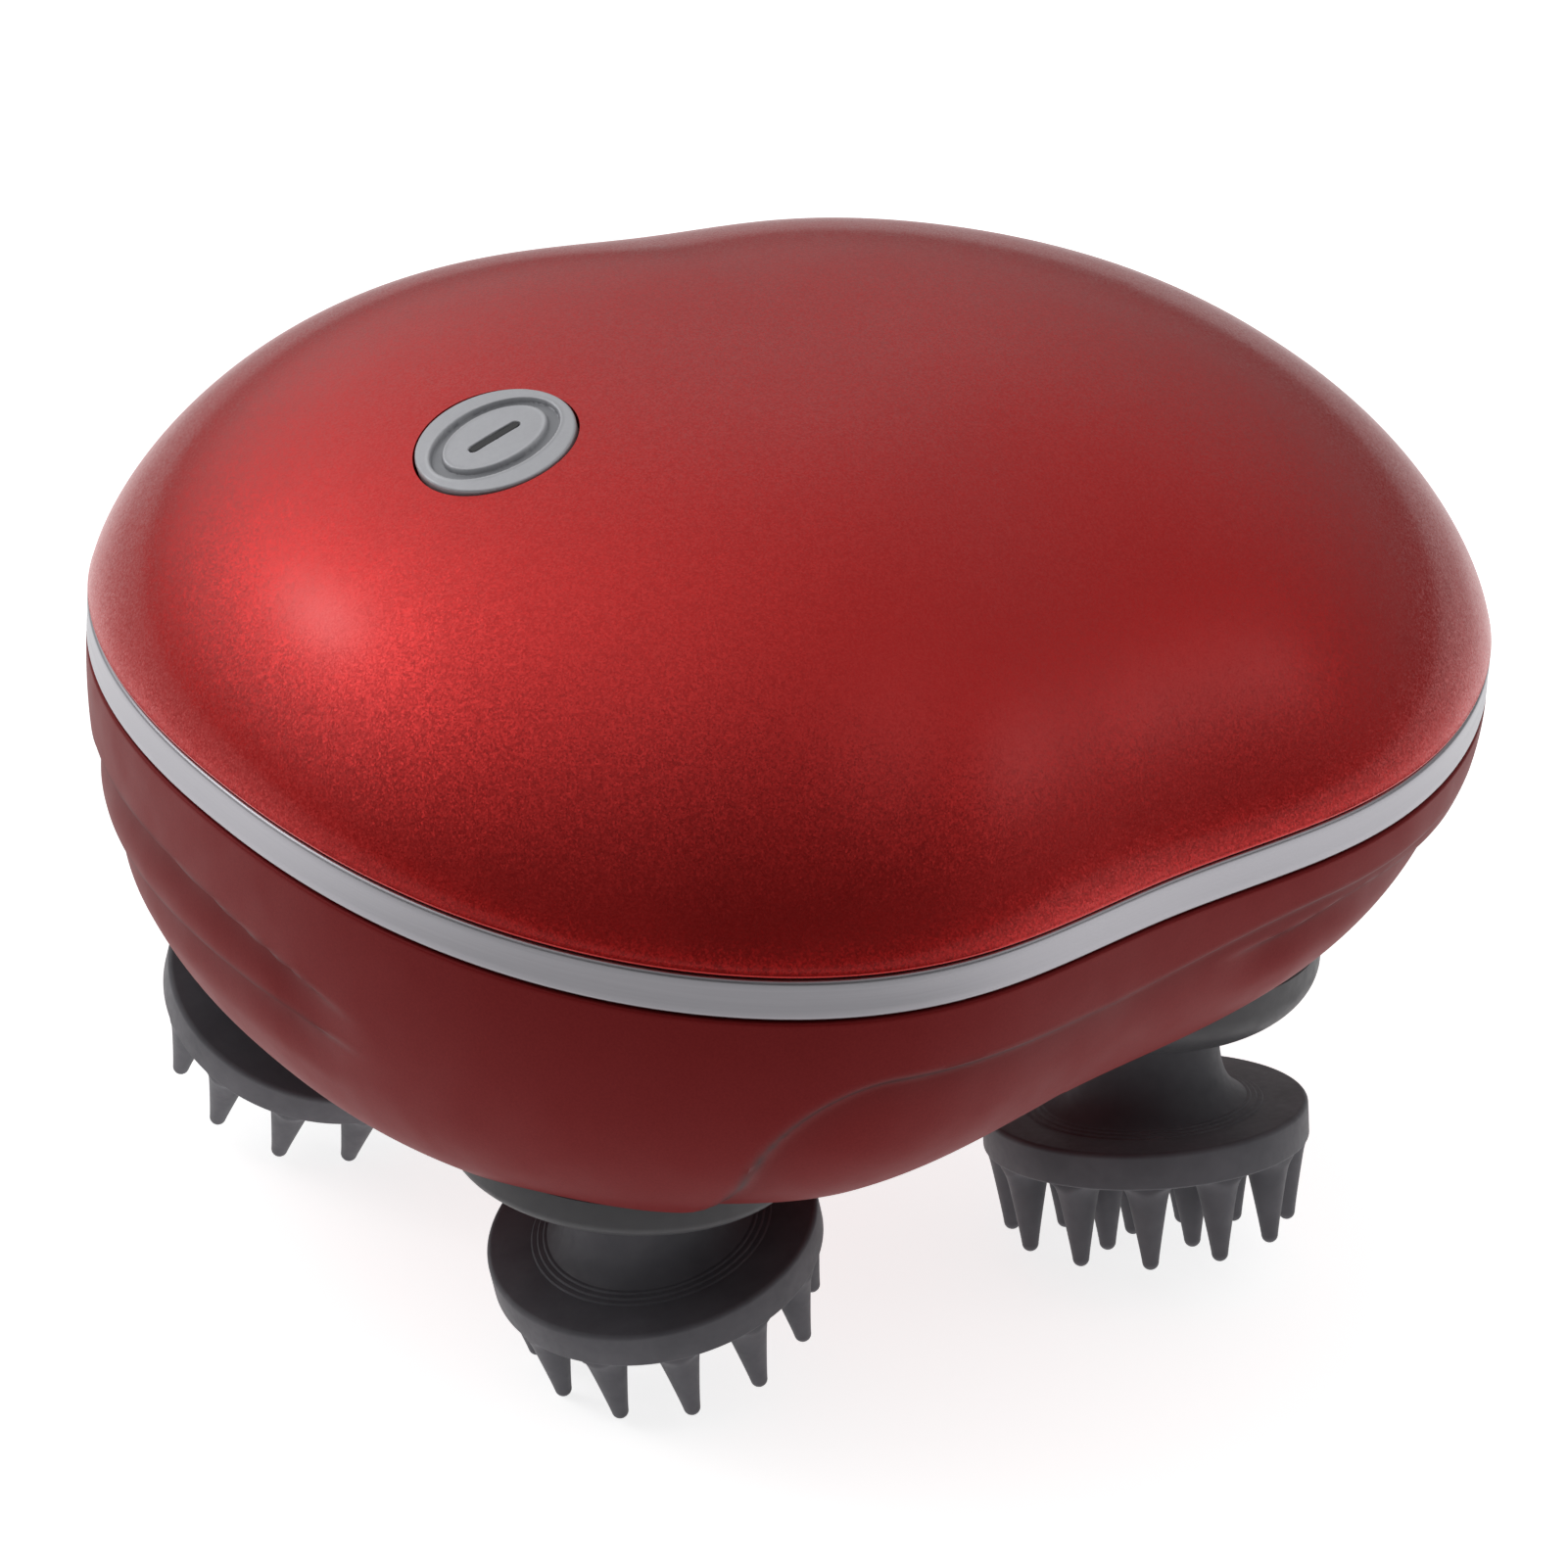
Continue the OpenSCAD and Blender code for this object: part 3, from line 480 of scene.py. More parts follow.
def winding():
    """Copper wire wound round an armature."""
    shader = Shader("copper_winding", roughness=0.3, metallic=1.0)
    wave = shader.node("ShaderNodeTexWave", bands_direction="Z")
    wave.inputs["Scale"].default_value = 420
    shader.link(shader.place, wave.inputs["Vector"])
    shader.color(shader.mix(wave.outputs["Fac"], (0.36, 0.13, 0.05), (0.72, 0.32, 0.14)))
    shader.bump(wave.outputs["Fac"], 0.1, 0.8)
    return shader.material


def battery_wrap():
    """Glossy heat-shrink sleeve of a cell."""
    shader = Shader("battery_sleeve", roughness=0.25)
    shader.color(shader.mix(shader.noise(90, 4), (0.02, 0.08, 0.30), (0.03, 0.11, 0.36)))
    shader.roughness(shader.ramp(shader.noise(300, 4), 0.2, 0.34))
    shader.bump(shader.noise(260, 3), 0.03, 0.3)
    return shader.material


MATERIALS = {
    "red_lacquer": red_lacquer(),
    "red_matt": red_matt(),
    "silver": satin_silver(),
    "button": button_paint(),
    "silicone": silicone(),
    "collar": moulded("collar_grey", (0.052, 0.051, 0.056), 0.46),
    "seal": moulded("black_rubber", (0.016, 0.016, 0.017), 0.7),
    "gear": moulded("natural_acetal", (0.72, 0.70, 0.64), 0.42),
    "core": moulded("white_nylon", (0.66, 0.66, 0.64), 0.5),
    "frame": moulded("black_glass_nylon", (0.03, 0.03, 0.032), 0.55),
    "steel": worked_metal("bright_steel", (0.62, 0.62, 0.64), 0.28),
    "can": worked_metal("zinc_plated_steel", (0.50, 0.52, 0.55), 0.36, (1, 1, 3)),
    "bronze": worked_metal("sintered_bronze", (0.50, 0.34, 0.15), 0.42, (1, 1, 1)),
    "magnet": moulded("ferrite", (0.022, 0.022, 0.024), 0.6, 1500),
    "winding": winding(),
    "board": laminate(),
    "chips": moulded("chip_epoxy", (0.012, 0.012, 0.013), 0.5, 2600),
    "led": moulded("led_lens", (0.75, 0.78, 0.80), 0.3),
    "window": moulded("window_smoke", (0.012, 0.012, 0.014), 0.2),
    "battery": battery_wrap(),
    "wire": moulded("red_wire_sleeve", (0.34, 0.012, 0.012), 0.4),
}

# Material of each CAD node that stays in view, by the first words of its name
NODE_MATERIALS = {
    "housing_gasket": "seal",
    "housing_screws": "steel",
    "button_window": "window",
    "switch_plunger": "frame",
    "tact_switch": "frame",
    "status_led": "led",
    "control_board": "board",
    "board_chips": "chips",
    "board_screws": "steel",
    "battery_cell": "battery",
    "battery_cradle": "frame",
    "battery_leads": "wire",
    "motor_can": "can",
    "motor_end_cap": "core",
    "motor_magnets": "magnet",
    "motor_armature": "winding",
    "motor_pinion": "bronze",
    "motor_screws": "steel",
    "motor_leads": "wire",
    "gearbox_base": "frame",
    "gearbox_cover": "frame",
    "gearbox_screws": "steel",
    "reduction_gear": "gear",
    "reduction_axle": "steel",
    "drive_gear": "gear",
    "drive_axles": "steel",
    "lower_bushes": "bronze",
    "upper_bushes": "bronze",
    "charging_socket": "steel",
    "output_gear": "gear",
    "crank_shaft": "steel",
    "shaft_clips": "steel",
    "head_core": "core",
    "top_cover": "red_lacquer",
    "trim_ring": "silver",
    "lower_housing": "red_matt",
    "power_button": "button",
    "port_cover": "seal",
    "swivel_collar": "collar",
    "massage_head": "silicone",
}


def paint(obj, material):
    """Gives every face of an object one material."""
    obj.data.materials.clear()
    obj.data.materials.append(MATERIALS[material])


def place_piece(obj, body, material, node):
    """Finishes a piece that stands for a CAD node."""
    paint(obj, material)
    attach(obj, body)
    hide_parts(node)


def paint_frame():
    """Gives every CAD node its material."""
    for name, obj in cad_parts.items():
        key = next(k for k in NODE_MATERIALS if name.startswith(k))
        paint(obj, NODE_MATERIALS[key])


# ---- Shells ----

SKIN_POINTS = 432
SHELL_EDGE = 0.3
DOME_ROWS = 84
DOME_INNER_ROWS = 20
# The dome's rings run this many degrees up its section, from DOME_FOOT to short of the crown
DOME_FOOT = 3.2
DOME_SPAN = 86
BOWL_ROWS = 96
BOWL_INNER_ROWS = 24
# Lower end of the cutters from the seam, well under the body
CUT_LOW = -45


def dome_ring(up, inset):
    """A ring of the dome, at this angle up its section."""
    x, y = outline(round_angles(SKIN_POINTS), inset)
    draw = DOME_DRAW + DOME_DRAW_CHANGE * x / HALF_LENGTH
    share = math.cos(up) ** (2 / draw)
    rise = math.sin(up) ** (2 / DOME_RISE) * (1 + DOME_LEAN * x * share / HALF_LENGTH)
    z = SEAM_Z + SHELL_RIM + (DOME_HEIGHT - inset) * rise
    return np.stack([x * share, y * share, z], -1)


def edge_ring(inset, z):
    """A level ring of the outline, z above the seam."""
    x, y = outline(round_angles(SKIN_POINTS), inset)
    return np.stack([x, y, np.full(len(x), SEAM_Z + z)], -1)


def edge_rings(side):
    """The rounded edge of a shell at the trim: side is 1 above it and -1 below it."""
    rows, r = [], SHELL_EDGE
    for k in range(1, 5):
        a = math.radians(90 * k / 4)
        rows.append(edge_ring(r - r * math.cos(a), side * (SHELL_RIM + r - r * math.sin(a))))
    return rows


def plug_profile(r, low, high):
    """The profile of a plain cutter or post."""
    return [(0, low), (r, low), (r, high), (0, high)]


def make_top_cover(button_frame):
    """The dome, closed by its inner face, with the button's hole."""
    crown = SEAM_Z + SHELL_RIM + DOME_HEIGHT
    top = DOME_FOOT + DOME_SPAN
    inner = [math.radians(top * (1 - k / DOME_INNER_ROWS)) for k in range(DOME_INNER_ROWS + 1)]
    outer = [math.radians(DOME_FOOT + DOME_SPAN * k / DOME_ROWS) for k in range(DOME_ROWS + 1)]
    rings = [dome_ring(up, WALL) for up in inner]
    rings += list(reversed(edge_rings(1)))
    rings.append(edge_ring(0, SHELL_RIM + SHELL_EDGE))
    rings += [dome_ring(up, 0) for up in outer]
    shell = add_object("top_cover_shell", *loft(rings, (0, 0, crown - WALL), (0, 0, crown)))
    profile = plug_profile(BUTTON_R + BUTTON_GAP, -9, 6)
    hole = add_object("button_hole", *turned(profile, 128, button_frame))
    combine(shell, hole, "DIFFERENCE", 30)
    place_piece(shell, "housing", "red_lacquer", "top_cover")


def make_trim():
    """The band between the shells: rounded edges and a face that is hollow by a hair."""
    half, r = TRIM_HEIGHT / 2, TRIM_EDGE
    turns = np.radians([0, 22, 45, 68, 90])
    section = [(TRIM_DEPTH, -half), (r, -half)]
    section += [(r - r * math.sin(a), -half + r - r * math.cos(a)) for a in turns[1:]]
    section += [(TRIM_HOLLOW * math.cos(math.pi / 2 * k), half * 0.5 * k) for k in (-1, 0, 1)]
    section += [(r - r * math.cos(a), half - r + r * math.sin(a)) for a in turns]
    section.append((TRIM_DEPTH, half))
    rings = [edge_ring(inset, z) for inset, z in section]
    trim = add_object("trim_band", *loft(rings, closed=True), sharp=50)
    place_piece(trim, "housing", "silver", "trim_ring")


# A moulded step's depth and width, how far down it fades out, and the share that stays
RIPPLE_STEP = (1.2, 0.9, 5.5, 0)
PANEL_STEP = (1.2, 1.5, 12, 0.3)
SHORT_STEP = (0.8, 0.9, 5, 0)
RIPPLE_Z = (-10.3, -16.2)
PANEL_END = -38
PANEL_CORNER = 9.5
PANEL_TOP = -8.9
PANEL_CLIMB = 2.6
# Painted shade: a darker line along a step's foot, and a paler painted shade that runs on below it
CREASE_HALF = 0.65
SHADE_SHARE = 0.35
SHADE_REACH = 2.5


def moulded_lines(points):
    """The steps moulded into the bowl. For each: how far a point is below its line, how strong it
    is there, and its four sizes."""
    x, y, z = points[:, 0], points[:, 1], points[:, 2] - SEAM_Z
    # Two ripples across the button end, which fade towards the near side
    end = rise(-x, 44, 8) * rise(y, -20, 12)
    yield RIPPLE_Z[0] + 0.09 * y - 0.0025 * y * y - z, end, *RIPPLE_STEP
    yield RIPPLE_Z[1] - z, end, *RIPPLE_STEP
    # A sunken panel on each long side, with a round upper corner towards the button end
    top = PANEL_TOP + PANEL_CLIMB * rise(x, -6, 26)
    a = PANEL_END - x + PANEL_CORNER
    b = z - top + PANEL_CORNER
    out = np.where((a > 0) & (b > 0), np.hypot(a, b), np.maximum(a, b)) - PANEL_CORNER
    side = rise(np.abs(y), 18, 8)
    yield -out, side * rise(-x, -46, 14), *PANEL_STEP
    # A shorter second step just under the panel's upper edge, towards the far end
    lower = -9.6 + 1.2 * np.exp(-(((x - 26) / 8) ** 2))
    yield lower - z, side * rise(x, 8, 8) * rise(-x, -52, 10), *SHORT_STEP


def swell(points):
    """Depth of the moulded steps at points of the bowl, in millimetres inward."""
    depth = np.zeros(len(points))
    for below, share, amount, width, fade, stays in moulded_lines(points):
        step = smooth(below / width + 0.5)
        depth += share * amount * step * (stays + (1 - stays) * smooth(1 - below / fade))
    return depth


def add_crease_shade(obj):
    """Marks how near each point is to the foot of a moulded step, for the painted shade the material puts
    there.
    """
    points = np.array([v.co for v in obj.data.vertices]) / MM
    shade = np.zeros(len(points))
    for below, share, amount, *_ in moulded_lines(points):
        line = share * min(amount, 1) * np.exp(-(((below - 0.1) / CREASE_HALF) ** 2))
        fall = np.exp(-np.clip(below, 0, None) / SHADE_REACH) * (below > 0)
        shade = np.maximum(shade, np.maximum(line, SHADE_SHARE * share * amount * fall))
    add_mark(obj, shade)


def floor_z(x, inset=0.0):
    """Height of the bowl's floor from the seam."""
    return -SHELL_RIM - (BOWL_DEPTH - inset) * (1 - BOWL_SLOPE * x / HALF_LENGTH)


def bowl_ring(down, inset, stepped=False):
    """A ring of the bowl, at this angle down its section. The moulded steps lean it inward and up."""
    x0, y0 = outline(round_angles(SKIN_POINTS), inset)
    draw = math.cos(down) ** (2 / BOWL_DRAW)
    share = FLOOR_SHARE + (1 - FLOOR_SHARE) * draw
    x = x0 * share - FLOOR_SHIFT * (1 - draw)
    z = -SHELL_RIM + (floor_z(x, inset) + SHELL_RIM) * math.sin(down) ** (2 / BOWL_RISE)
    points = np.stack([x, y0 * share, SEAM_Z + z], -1)
    if stepped:
        out = np.stack([x0 * HALF_WIDTH / HALF_LENGTH, y0], -1)
        out /= np.linalg.norm(out, axis=1, keepdims=True)
        up_share = 0.6 * math.sin(down) ** 3
        # The steps end before the turn into the floor
        inward = swell(points) * (1 - smooth((down - 1.25) / 0.25))
        points[:, :2] -= out * (inward * (1 - up_share))[:, None]
        points[:, 2] += inward * up_share
    return points


def floor_ring(share, inset):
    """A ring of the flat floor, share of the way out from its middle."""
    edge = bowl_ring(math.radians(90), inset)
    x = -FLOOR_SHIFT + (edge[:, 0] + FLOOR_SHIFT) * share
    return np.stack([x, edge[:, 1] * share, SEAM_Z + floor_z(x, inset)], -1)


def bowl_skin(inset, rows, stepped):
    """Rings of the bowl from its rim to the middle of its floor, and that middle point."""
    rings = [bowl_ring(math.radians(90) * k / rows, inset, stepped) for k in range(1, rows + 1)]
    rings += [floor_ring(share, inset) for share in (0.8, 0.5, 0.2)]
    return rings, (-FLOOR_SHIFT, 0, SEAM_Z + floor_z(-FLOOR_SHIFT, inset))


def rounded_ring(size, r, inset, z, hinge_r=None, count=12):
    """A rounded rectangle made less by inset all round. hinge_r is the corner radius at its -X side."""
    points = []
    for k, (sx, sy) in enumerate(((1, 1), (-1, 1), (-1, -1), (1, -1))):
        corner = r if sx > 0 or hinge_r is None else hinge_r
        for i in range(count + 1):
            a = math.radians(90 * (k + i / count))
            x = sx * (size[0] / 2 - corner) + (corner - inset) * math.cos(a)
            y = sy * (size[1] / 2 - corner) + (corner - inset) * math.sin(a)
            points.append((x, y, z))
    return np.array(points)


def rounded_plate(size, r, low, high, edge, place, hinge_r=None):
    """A rounded rectangle between two heights, with a rounded upper edge."""
    rings = [rounded_ring(size, r, 0, low, hinge_r)]
    for k in range(5):
        a = math.radians(90 * k / 4)
        z = high - edge + edge * math.sin(a)
        rings.append(rounded_ring(size, r, edge * (1 - math.cos(a)), z, hinge_r))
    points, faces = loft(rings, (0, 0, low), (0, 0, high))
    return moved(points, place), faces


def collar_top(x):
    """Height of a collar's flat top from the seam."""
    return floor_z(x) + WALL + 0.6


def add_screw_posts(shell):
    """Adds the four posts of the housing screws, cut off inside the wall."""
    core_rings, core_middle = bowl_skin(WALL / 2, BOWL_INNER_ROWS, False)
    core_rings.insert(0, edge_ring(WALL / 2, -SHELL_RIM))
    core = loft(core_rings, (0, 0, SEAM_Z - SHELL_RIM), core_middle)
    profile = plug_profile(SCREW_POST_R, -40, -3)
    posts = [turned(profile, 48, at(x, y, SEAM_Z)) for x, y in SCREW_PLACES]
    post_set = add_object("posts", *joined(posts))
    combine(post_set, add_object("core", *core), "INTERSECT")
    combine(shell, post_set, "UNION")


def cut_openings(shell):
    """Cuts the screws' pockets and holes, and the openings above the heads."""
    pocket = plug_profile(SCREW_POCKET_R, CUT_LOW, SCREW_LOW)
    hole = plug_profile(SCREW_HOLE_R, CUT_LOW, -1)
    cuts = [turned(pocket, 48, at(x, y, SEAM_Z)) for x, y in SCREW_PLACES]
    cuts += [turned(hole, 32, at(x, y, SEAM_Z)) for x, y in SCREW_PLACES]
    for x, y in HEAD_PLACES:
        opening = plug_profile(OPENING_R, CUT_LOW, collar_top(x) + 0.6)
        cuts.append(turned(opening, 128, at(x, y, SEAM_Z)))
    for k, cut in enumerate(cuts):
        combine(shell, add_object(f"cut_{k}", *cut), "DIFFERENCE")


def cut_port(shell, port_frame):
    """Cuts the flap's recess, and the tunnel to the charging socket."""
    recess = (PORT_SIZE[0] + PORT_GAP, PORT_SIZE[1] + PORT_GAP)
    for size, low, hinge_r in ((recess, -PORT_THICK, 0.2), (PORT_TUNNEL, -6, PORT_CORNER)):
        points, faces = rounded_plate(size, PORT_CORNER, low, 8, 0.15, port_frame, hinge_r)
        combine(shell, add_object("port_cut", points, faces), "DIFFERENCE", 30)


def make_lower_housing(port_frame):
    """The bowl, with its moulded steps, posts and openings."""
    outer, outer_middle = bowl_skin(0, BOWL_ROWS, True)
    inner, inner_middle = bowl_skin(WALL, BOWL_INNER_ROWS, False)
    rings = list(reversed(outer)) + [edge_ring(0, -SHELL_RIM - SHELL_EDGE)] + edge_rings(-1)
    rings += [edge_ring(WALL, -SHELL_RIM)] + inner
    shell = add_object("lower_housing_shell", *loft(rings, outer_middle, inner_middle))
    add_screw_posts(shell)
    cut_openings(shell)
    cut_port(shell, port_frame)
    add_crease_shade(shell)
    place_piece(shell, "housing", "red_matt", "lower_housing")


def make_port_cover(port_frame):
    """The flap: a plate that starts at the hinge's axis, a round barrel there, a plug and a lip."""
    hinge_r = PORT_THICK / 2
    size = (PORT_SIZE[0] - hinge_r, PORT_SIZE[1])
    plate_frame = port_frame @ at(hinge_r / 2, 0, 0)
    plate = rounded_plate(size, PORT_CORNER, -PORT_THICK, 0, 0.3, plate_frame, 0.31)
    barrel_frame = port_frame @ at(hinge_r - PORT_SIZE[0] / 2, PORT_SIZE[1] / 2, -hinge_r)
    barrel_frame = barrel_frame @ turn_about("X", 90)
    bevel, length = 0.12, PORT_SIZE[1]
    edge = [(hinge_r - bevel, 0), (hinge_r, bevel), (hinge_r, length - bevel), (hinge_r - bevel, length)]
    barrel = turned([(0, 0)] + edge + [(0, length)], 40, barrel_frame)
    plug_low, plug_high = -PORT_THICK - 0.6, -PORT_THICK + 0.1
    plug = rounded_plate(PORT_PLUG, PORT_CORNER, plug_low, plug_high, 0.05, port_frame)
    lip = rounded_plate(PORT_LIP, 0.3, -0.3, 0.28, 0.15, port_frame @ at(PORT_LIP_X, 0, 0))
    cover = add_object("port_flap", *joined([plate, barrel, plug, lip]))
    place_piece(cover, "port_flap", "seal", "port_cover")


# ---- Button ----


def groove_drop(points):
    """Depth of the oval groove and of the slot's rim below the button's face."""
    x, y = points[:, 0], points[:, 1]
    ellipse = np.sqrt((x / GROOVE[0]) ** 2 + (y / GROOVE[1]) ** 2)
    away = np.abs(ellipse - 1) * np.hypot(x, y) / np.maximum(ellipse, 0.05)
    drop = GROOVE_DEPTH * smooth((GROOVE_HALF + 0.06 - away) / 0.16)
    # A slightly raised lip on either side of the groove
    drop -= 0.05 * np.exp(-(((away - GROOVE_HALF - 0.22) / 0.12) ** 2))
    half = WINDOW[0] / 2 - WINDOW[1] / 2
    slot = np.hypot(np.maximum(np.abs(x) - half, 0), y)
    return drop + 0.45 * smooth((WINDOW[1] / 2 + 0.2 - slot) / 0.14)


def button_face(points):
    """Height of the button's face, which follows the dome."""
    reach = points[:, 0] ** 2 + points[:, 1] ** 2
    return BUTTON_PROUD + np.sqrt(BUTTON_FACE_R**2 - reach) - BUTTON_FACE_R - groove_drop(points)


def make_button(button_frame):
    """The cap: a flange that holds it under the dome, its side, a rounded edge and its face."""
    count, rows, edge = 256, 80, BUTTON_EDGE
    low, high = BUTTON_FLANGE_Z
    flange_r, face_r = BUTTON_R + BUTTON_FLANGE, BUTTON_R - edge
    angles = round_angles(count)

    def ring(r, z):
        return np.stack([r * np.cos(angles), r * np.sin(angles), np.full(count, z)], -1)

    rings = [ring(flange_r, low), ring(flange_r, high), ring(BUTTON_R, high)]
    edge_z = button_face(np.array([[face_r, 0.0]]))[0]
    rings += [ring(r, z) for r, z in arc((face_r, edge_z - edge), edge, 0, 85, 5)]
    for k in range(1, rows):
        face = ring(face_r * (1 - k / rows), 0)
        face[:, 2] = button_face(face)
        rings.append(face)
    middle = np.zeros((1, 3))
    middle[0, 2] = button_face(middle)[0]
    points, faces = loft(rings, (0, 0, low), tuple(middle[0]))
    cap = add_object("power_button_cap", moved(points, button_frame), faces, 55)
    on_face = (np.hypot(points[:, 0], points[:, 1]) < face_r) & (points[:, 2] > -1)
    # Marks the groove and slot for the painted shade in the button's material
    add_mark(cap, np.clip(groove_drop(points) / GROOVE_DEPTH, 0, 1) * on_face)
    place_piece(cap, "button", "button", "power_button")


# ---- Heads ----


def head_reach(i):
    """Distance from the crank's elbow down to the middle of head i's disc."""
    tilt = math.radians(HEAD_TILT[i])
    drop = SEAM_Z - ELBOW_DEPTH - SPIKE_TIP_R - SPIKE_RINGS[0][0] * math.sin(tilt)
    return drop / math.cos(tilt) - (DISC_HALF + SPIKE_LENGTH - SPIKE_TIP_R)


def head_frame(i):
    """Middle of head i's disc, with +Z up its neck."""
    x, y = HEAD_PLACES[i]
    elbow = at(x, y, SEAM_Z - ELBOW_DEPTH) @ turn_about("Z", HEAD_LEAN[i]) @ turn_about("Y", HEAD_TILT[i])
    return elbow @ at(0, 0, -head_reach(i))


def neck_profile(i, more=0.0):
    """Radius and height of head i's neck, from its wide foot up."""
    foot = DISC_HALF + STEP_HIGH
    heights = [NECK_FLARE_HIGH * (k / 18) ** 1.5 for k in range(19)]
    profile = [(NECK_R + more + NECK_FLARE * math.exp(-h / 1.5), foot + h) for h in heights]
    profile.append((NECK_R + more, head_reach(i) + 1))
    return profile


def spike(ring_r, angle, place):
    """One spike with a wide, softly flared foot and a round tip, hanging under the disc."""
    length = SPIKE_LENGTH - SPIKE_TIP_R
    profile = [(0, -SPIKE_LENGTH)] + arc((0, -length), SPIKE_TIP_R, -82, -8, 5)
    for k in range(20):
        # The share of the way from the foot to the tip
        share = (1 - k / 19) ** 1.6
        r = SPIKE_TIP_R + (SPIKE_BASE_R - SPIKE_TIP_R) * (1 - share) ** 1.08
        r += SPIKE_FLARE * math.exp(-share * 16)
        profile.append((r, -share * length))
    foot_r = SPIKE_BASE_R + SPIKE_FLARE
    profile += [(foot_r, 0.4), (0, 0.4)]
    points, faces = turned(profile, 36, at(ring_r, 0, 0))
    # The wide foot is cut off flush with the disc's side
    reach = np.hypot(points[:, 0], points[:, 1])
    limit = DISC_R - 0.22
    points[:, :2] *= np.minimum(1, limit / np.maximum(reach, 1e-6))[:, None]
    return moved(points, place @ turn_about("Z", angle) @ at(0, 0, -DISC_HALF)), faces


def make_head(i):
    """The soft part of head i: disc, low round steps, neck and spikes."""
    place = head_frame(i)
    profile = [(0, -DISC_HALF)]
    profile += arc((DISC_R - DISC_LOW_EDGE, DISC_LOW_EDGE - DISC_HALF), DISC_LOW_EDGE, -90, 0, 5)
    profile += arc((DISC_R - DISC_EDGE, DISC_HALF - DISC_EDGE), DISC_EDGE, 0, 90, 6)
    for k in range(STEP_COUNT):
        r = STEP_R - 0.55 * k
        low = DISC_HALF + STEP_HIGH * k / STEP_COUNT
        high = DISC_HALF + STEP_HIGH * (k + 1) / STEP_COUNT
        profile += [(r, low), (r - 0.06, high - 0.05), (r - 0.14, high)]
    neck = neck_profile(i)
    profile += neck
    profile.append((0, neck[-1][1]))
    parts = [turned(profile, 160, place)]
    for ring_r, count in SPIKE_RINGS:
        parts += [spike(ring_r, k * 360 / count, place) for k in range(count)]
    head = add_object(f"massage_head_{HEADS[i]}_skin", *joined(parts), sharp=32)
    place_piece(head, f"head_{HEADS[i]}", "silicone", f"massage_head_{HEADS[i]}")


def make_collar(i):
    """The domed disc round head i's neck, flat on top and cut out to the neck's shape."""
    x, y = HEAD_PLACES[i]
    level = floor_z(x) + 0.4
    drop = COLLAR_DROP_FRONT if x < 0 else COLLAR_DROP_REAR
    top = collar_top(x)
    profile = [(0, top), (COLLAR_R - COLLAR_EDGE, top), (COLLAR_R, top - COLLAR_EDGE)]
    for k in range(41):
        a = math.radians(90 - 90 * k / 40)
        profile.append((COLLAR_R * math.sin(a), level - drop * math.cos(a)))
    profile[-1] = (0, level - drop)
    collar = add_object(f"swivel_collar_{HEADS[i]}_dome", *turned(profile, 128, at(x, y, SEAM_Z)))
    neck = neck_profile(i, NECK_GAP)
    hole = [(0, 0), (NECK_R + NECK_FLARE + NECK_GAP, 0)] + neck + [(0, neck[-1][1])]
    combine(collar, add_object("neck_hole", *turned(hole, 128, head_frame(i))), "DIFFERENCE", 30)
    body = f"head_{HEADS[i]}"
    place_piece(collar, body, "collar", f"swivel_collar_{HEADS[i]}")


# ---- Stage ----

# The camera's place, in degrees and millimetres
VIEW_AZIMUTH = -36
VIEW_HEIGHT = 27.8
VIEW_ROLL = 3.8
VIEW_DISTANCE = 800
VIEW_TARGET = (-5.64, -3.98, 43.01)
LENS = 206.9


def make_camera():
    """The camera, at VIEW_DISTANCE from its target and turned about its own line of sight."""
    azimuth, height, roll = (math.radians(v) for v in (VIEW_AZIMUTH, VIEW_HEIGHT, VIEW_ROLL))
    level_x, level_y = -math.sin(azimuth), math.cos(azimuth)
    forward = Vector((level_x * math.cos(height), level_y * math.cos(height), -math.sin(height)))
    right = Vector((level_y, -level_x, 0))
    up = right.cross(forward)
    level_right = math.cos(roll) * right + math.sin(roll) * up
    level_up = -math.sin(roll) * right + math.cos(roll) * up
    data = bpy.data.cameras.new("camera")
    data.sensor_width = 36
    data.lens = LENS
    data.clip_start = 0.05
    data.clip_end = 20
    camera = bpy.data.objects.new("camera", data)
    bpy.context.scene.collection.objects.link(camera)
    target = Vector(VIEW_TARGET) * MM
    turn = Matrix((level_right, level_up, -forward)).transposed().to_4x4()
    camera.matrix_world = Matrix.Translation(target - forward * VIEW_DISTANCE * MM) @ turn
    bpy.context.scene.camera = camera


# Soft panels round the object: azimuth from +X, height above the floor and half width in degrees, strength
PANELS = (
    (145, 66, 35, 0.76),
    (129, 28, 19, 1.30),
    (125, 28, 5, 5.5),
    (90, 26, 37, 0.86),
    (8, 46, 29, 0.34),
    (-3, 5, 55, 0.22),
    (-36, 28, 10, 1.15),
    (-62, 56, 18, 0.60),
)
ROOM = 0.07
# The panels' light rises over these sines of the height above the horizon, from this share
HORIZON = (0.02, 0.17)
HORIZON_SHARE = 0.15
# The floor's glow rises from the first strength to the second over a line towards FLOOR_BACK,
# and fades to a share of it over FLOOR_REACH from the middle; distances are in metres
FLOOR_HALF = 3
FLOOR_GLOW = (0.10, 0.66)
FLOOR_LINE = (-0.13, -0.03)
FLOOR_BACK = 48
FLOOR_REACH = (0.17, 0.38)
FLOOR_FAR_SHARE = 0.12
FLOOR_SEEN = 0.78


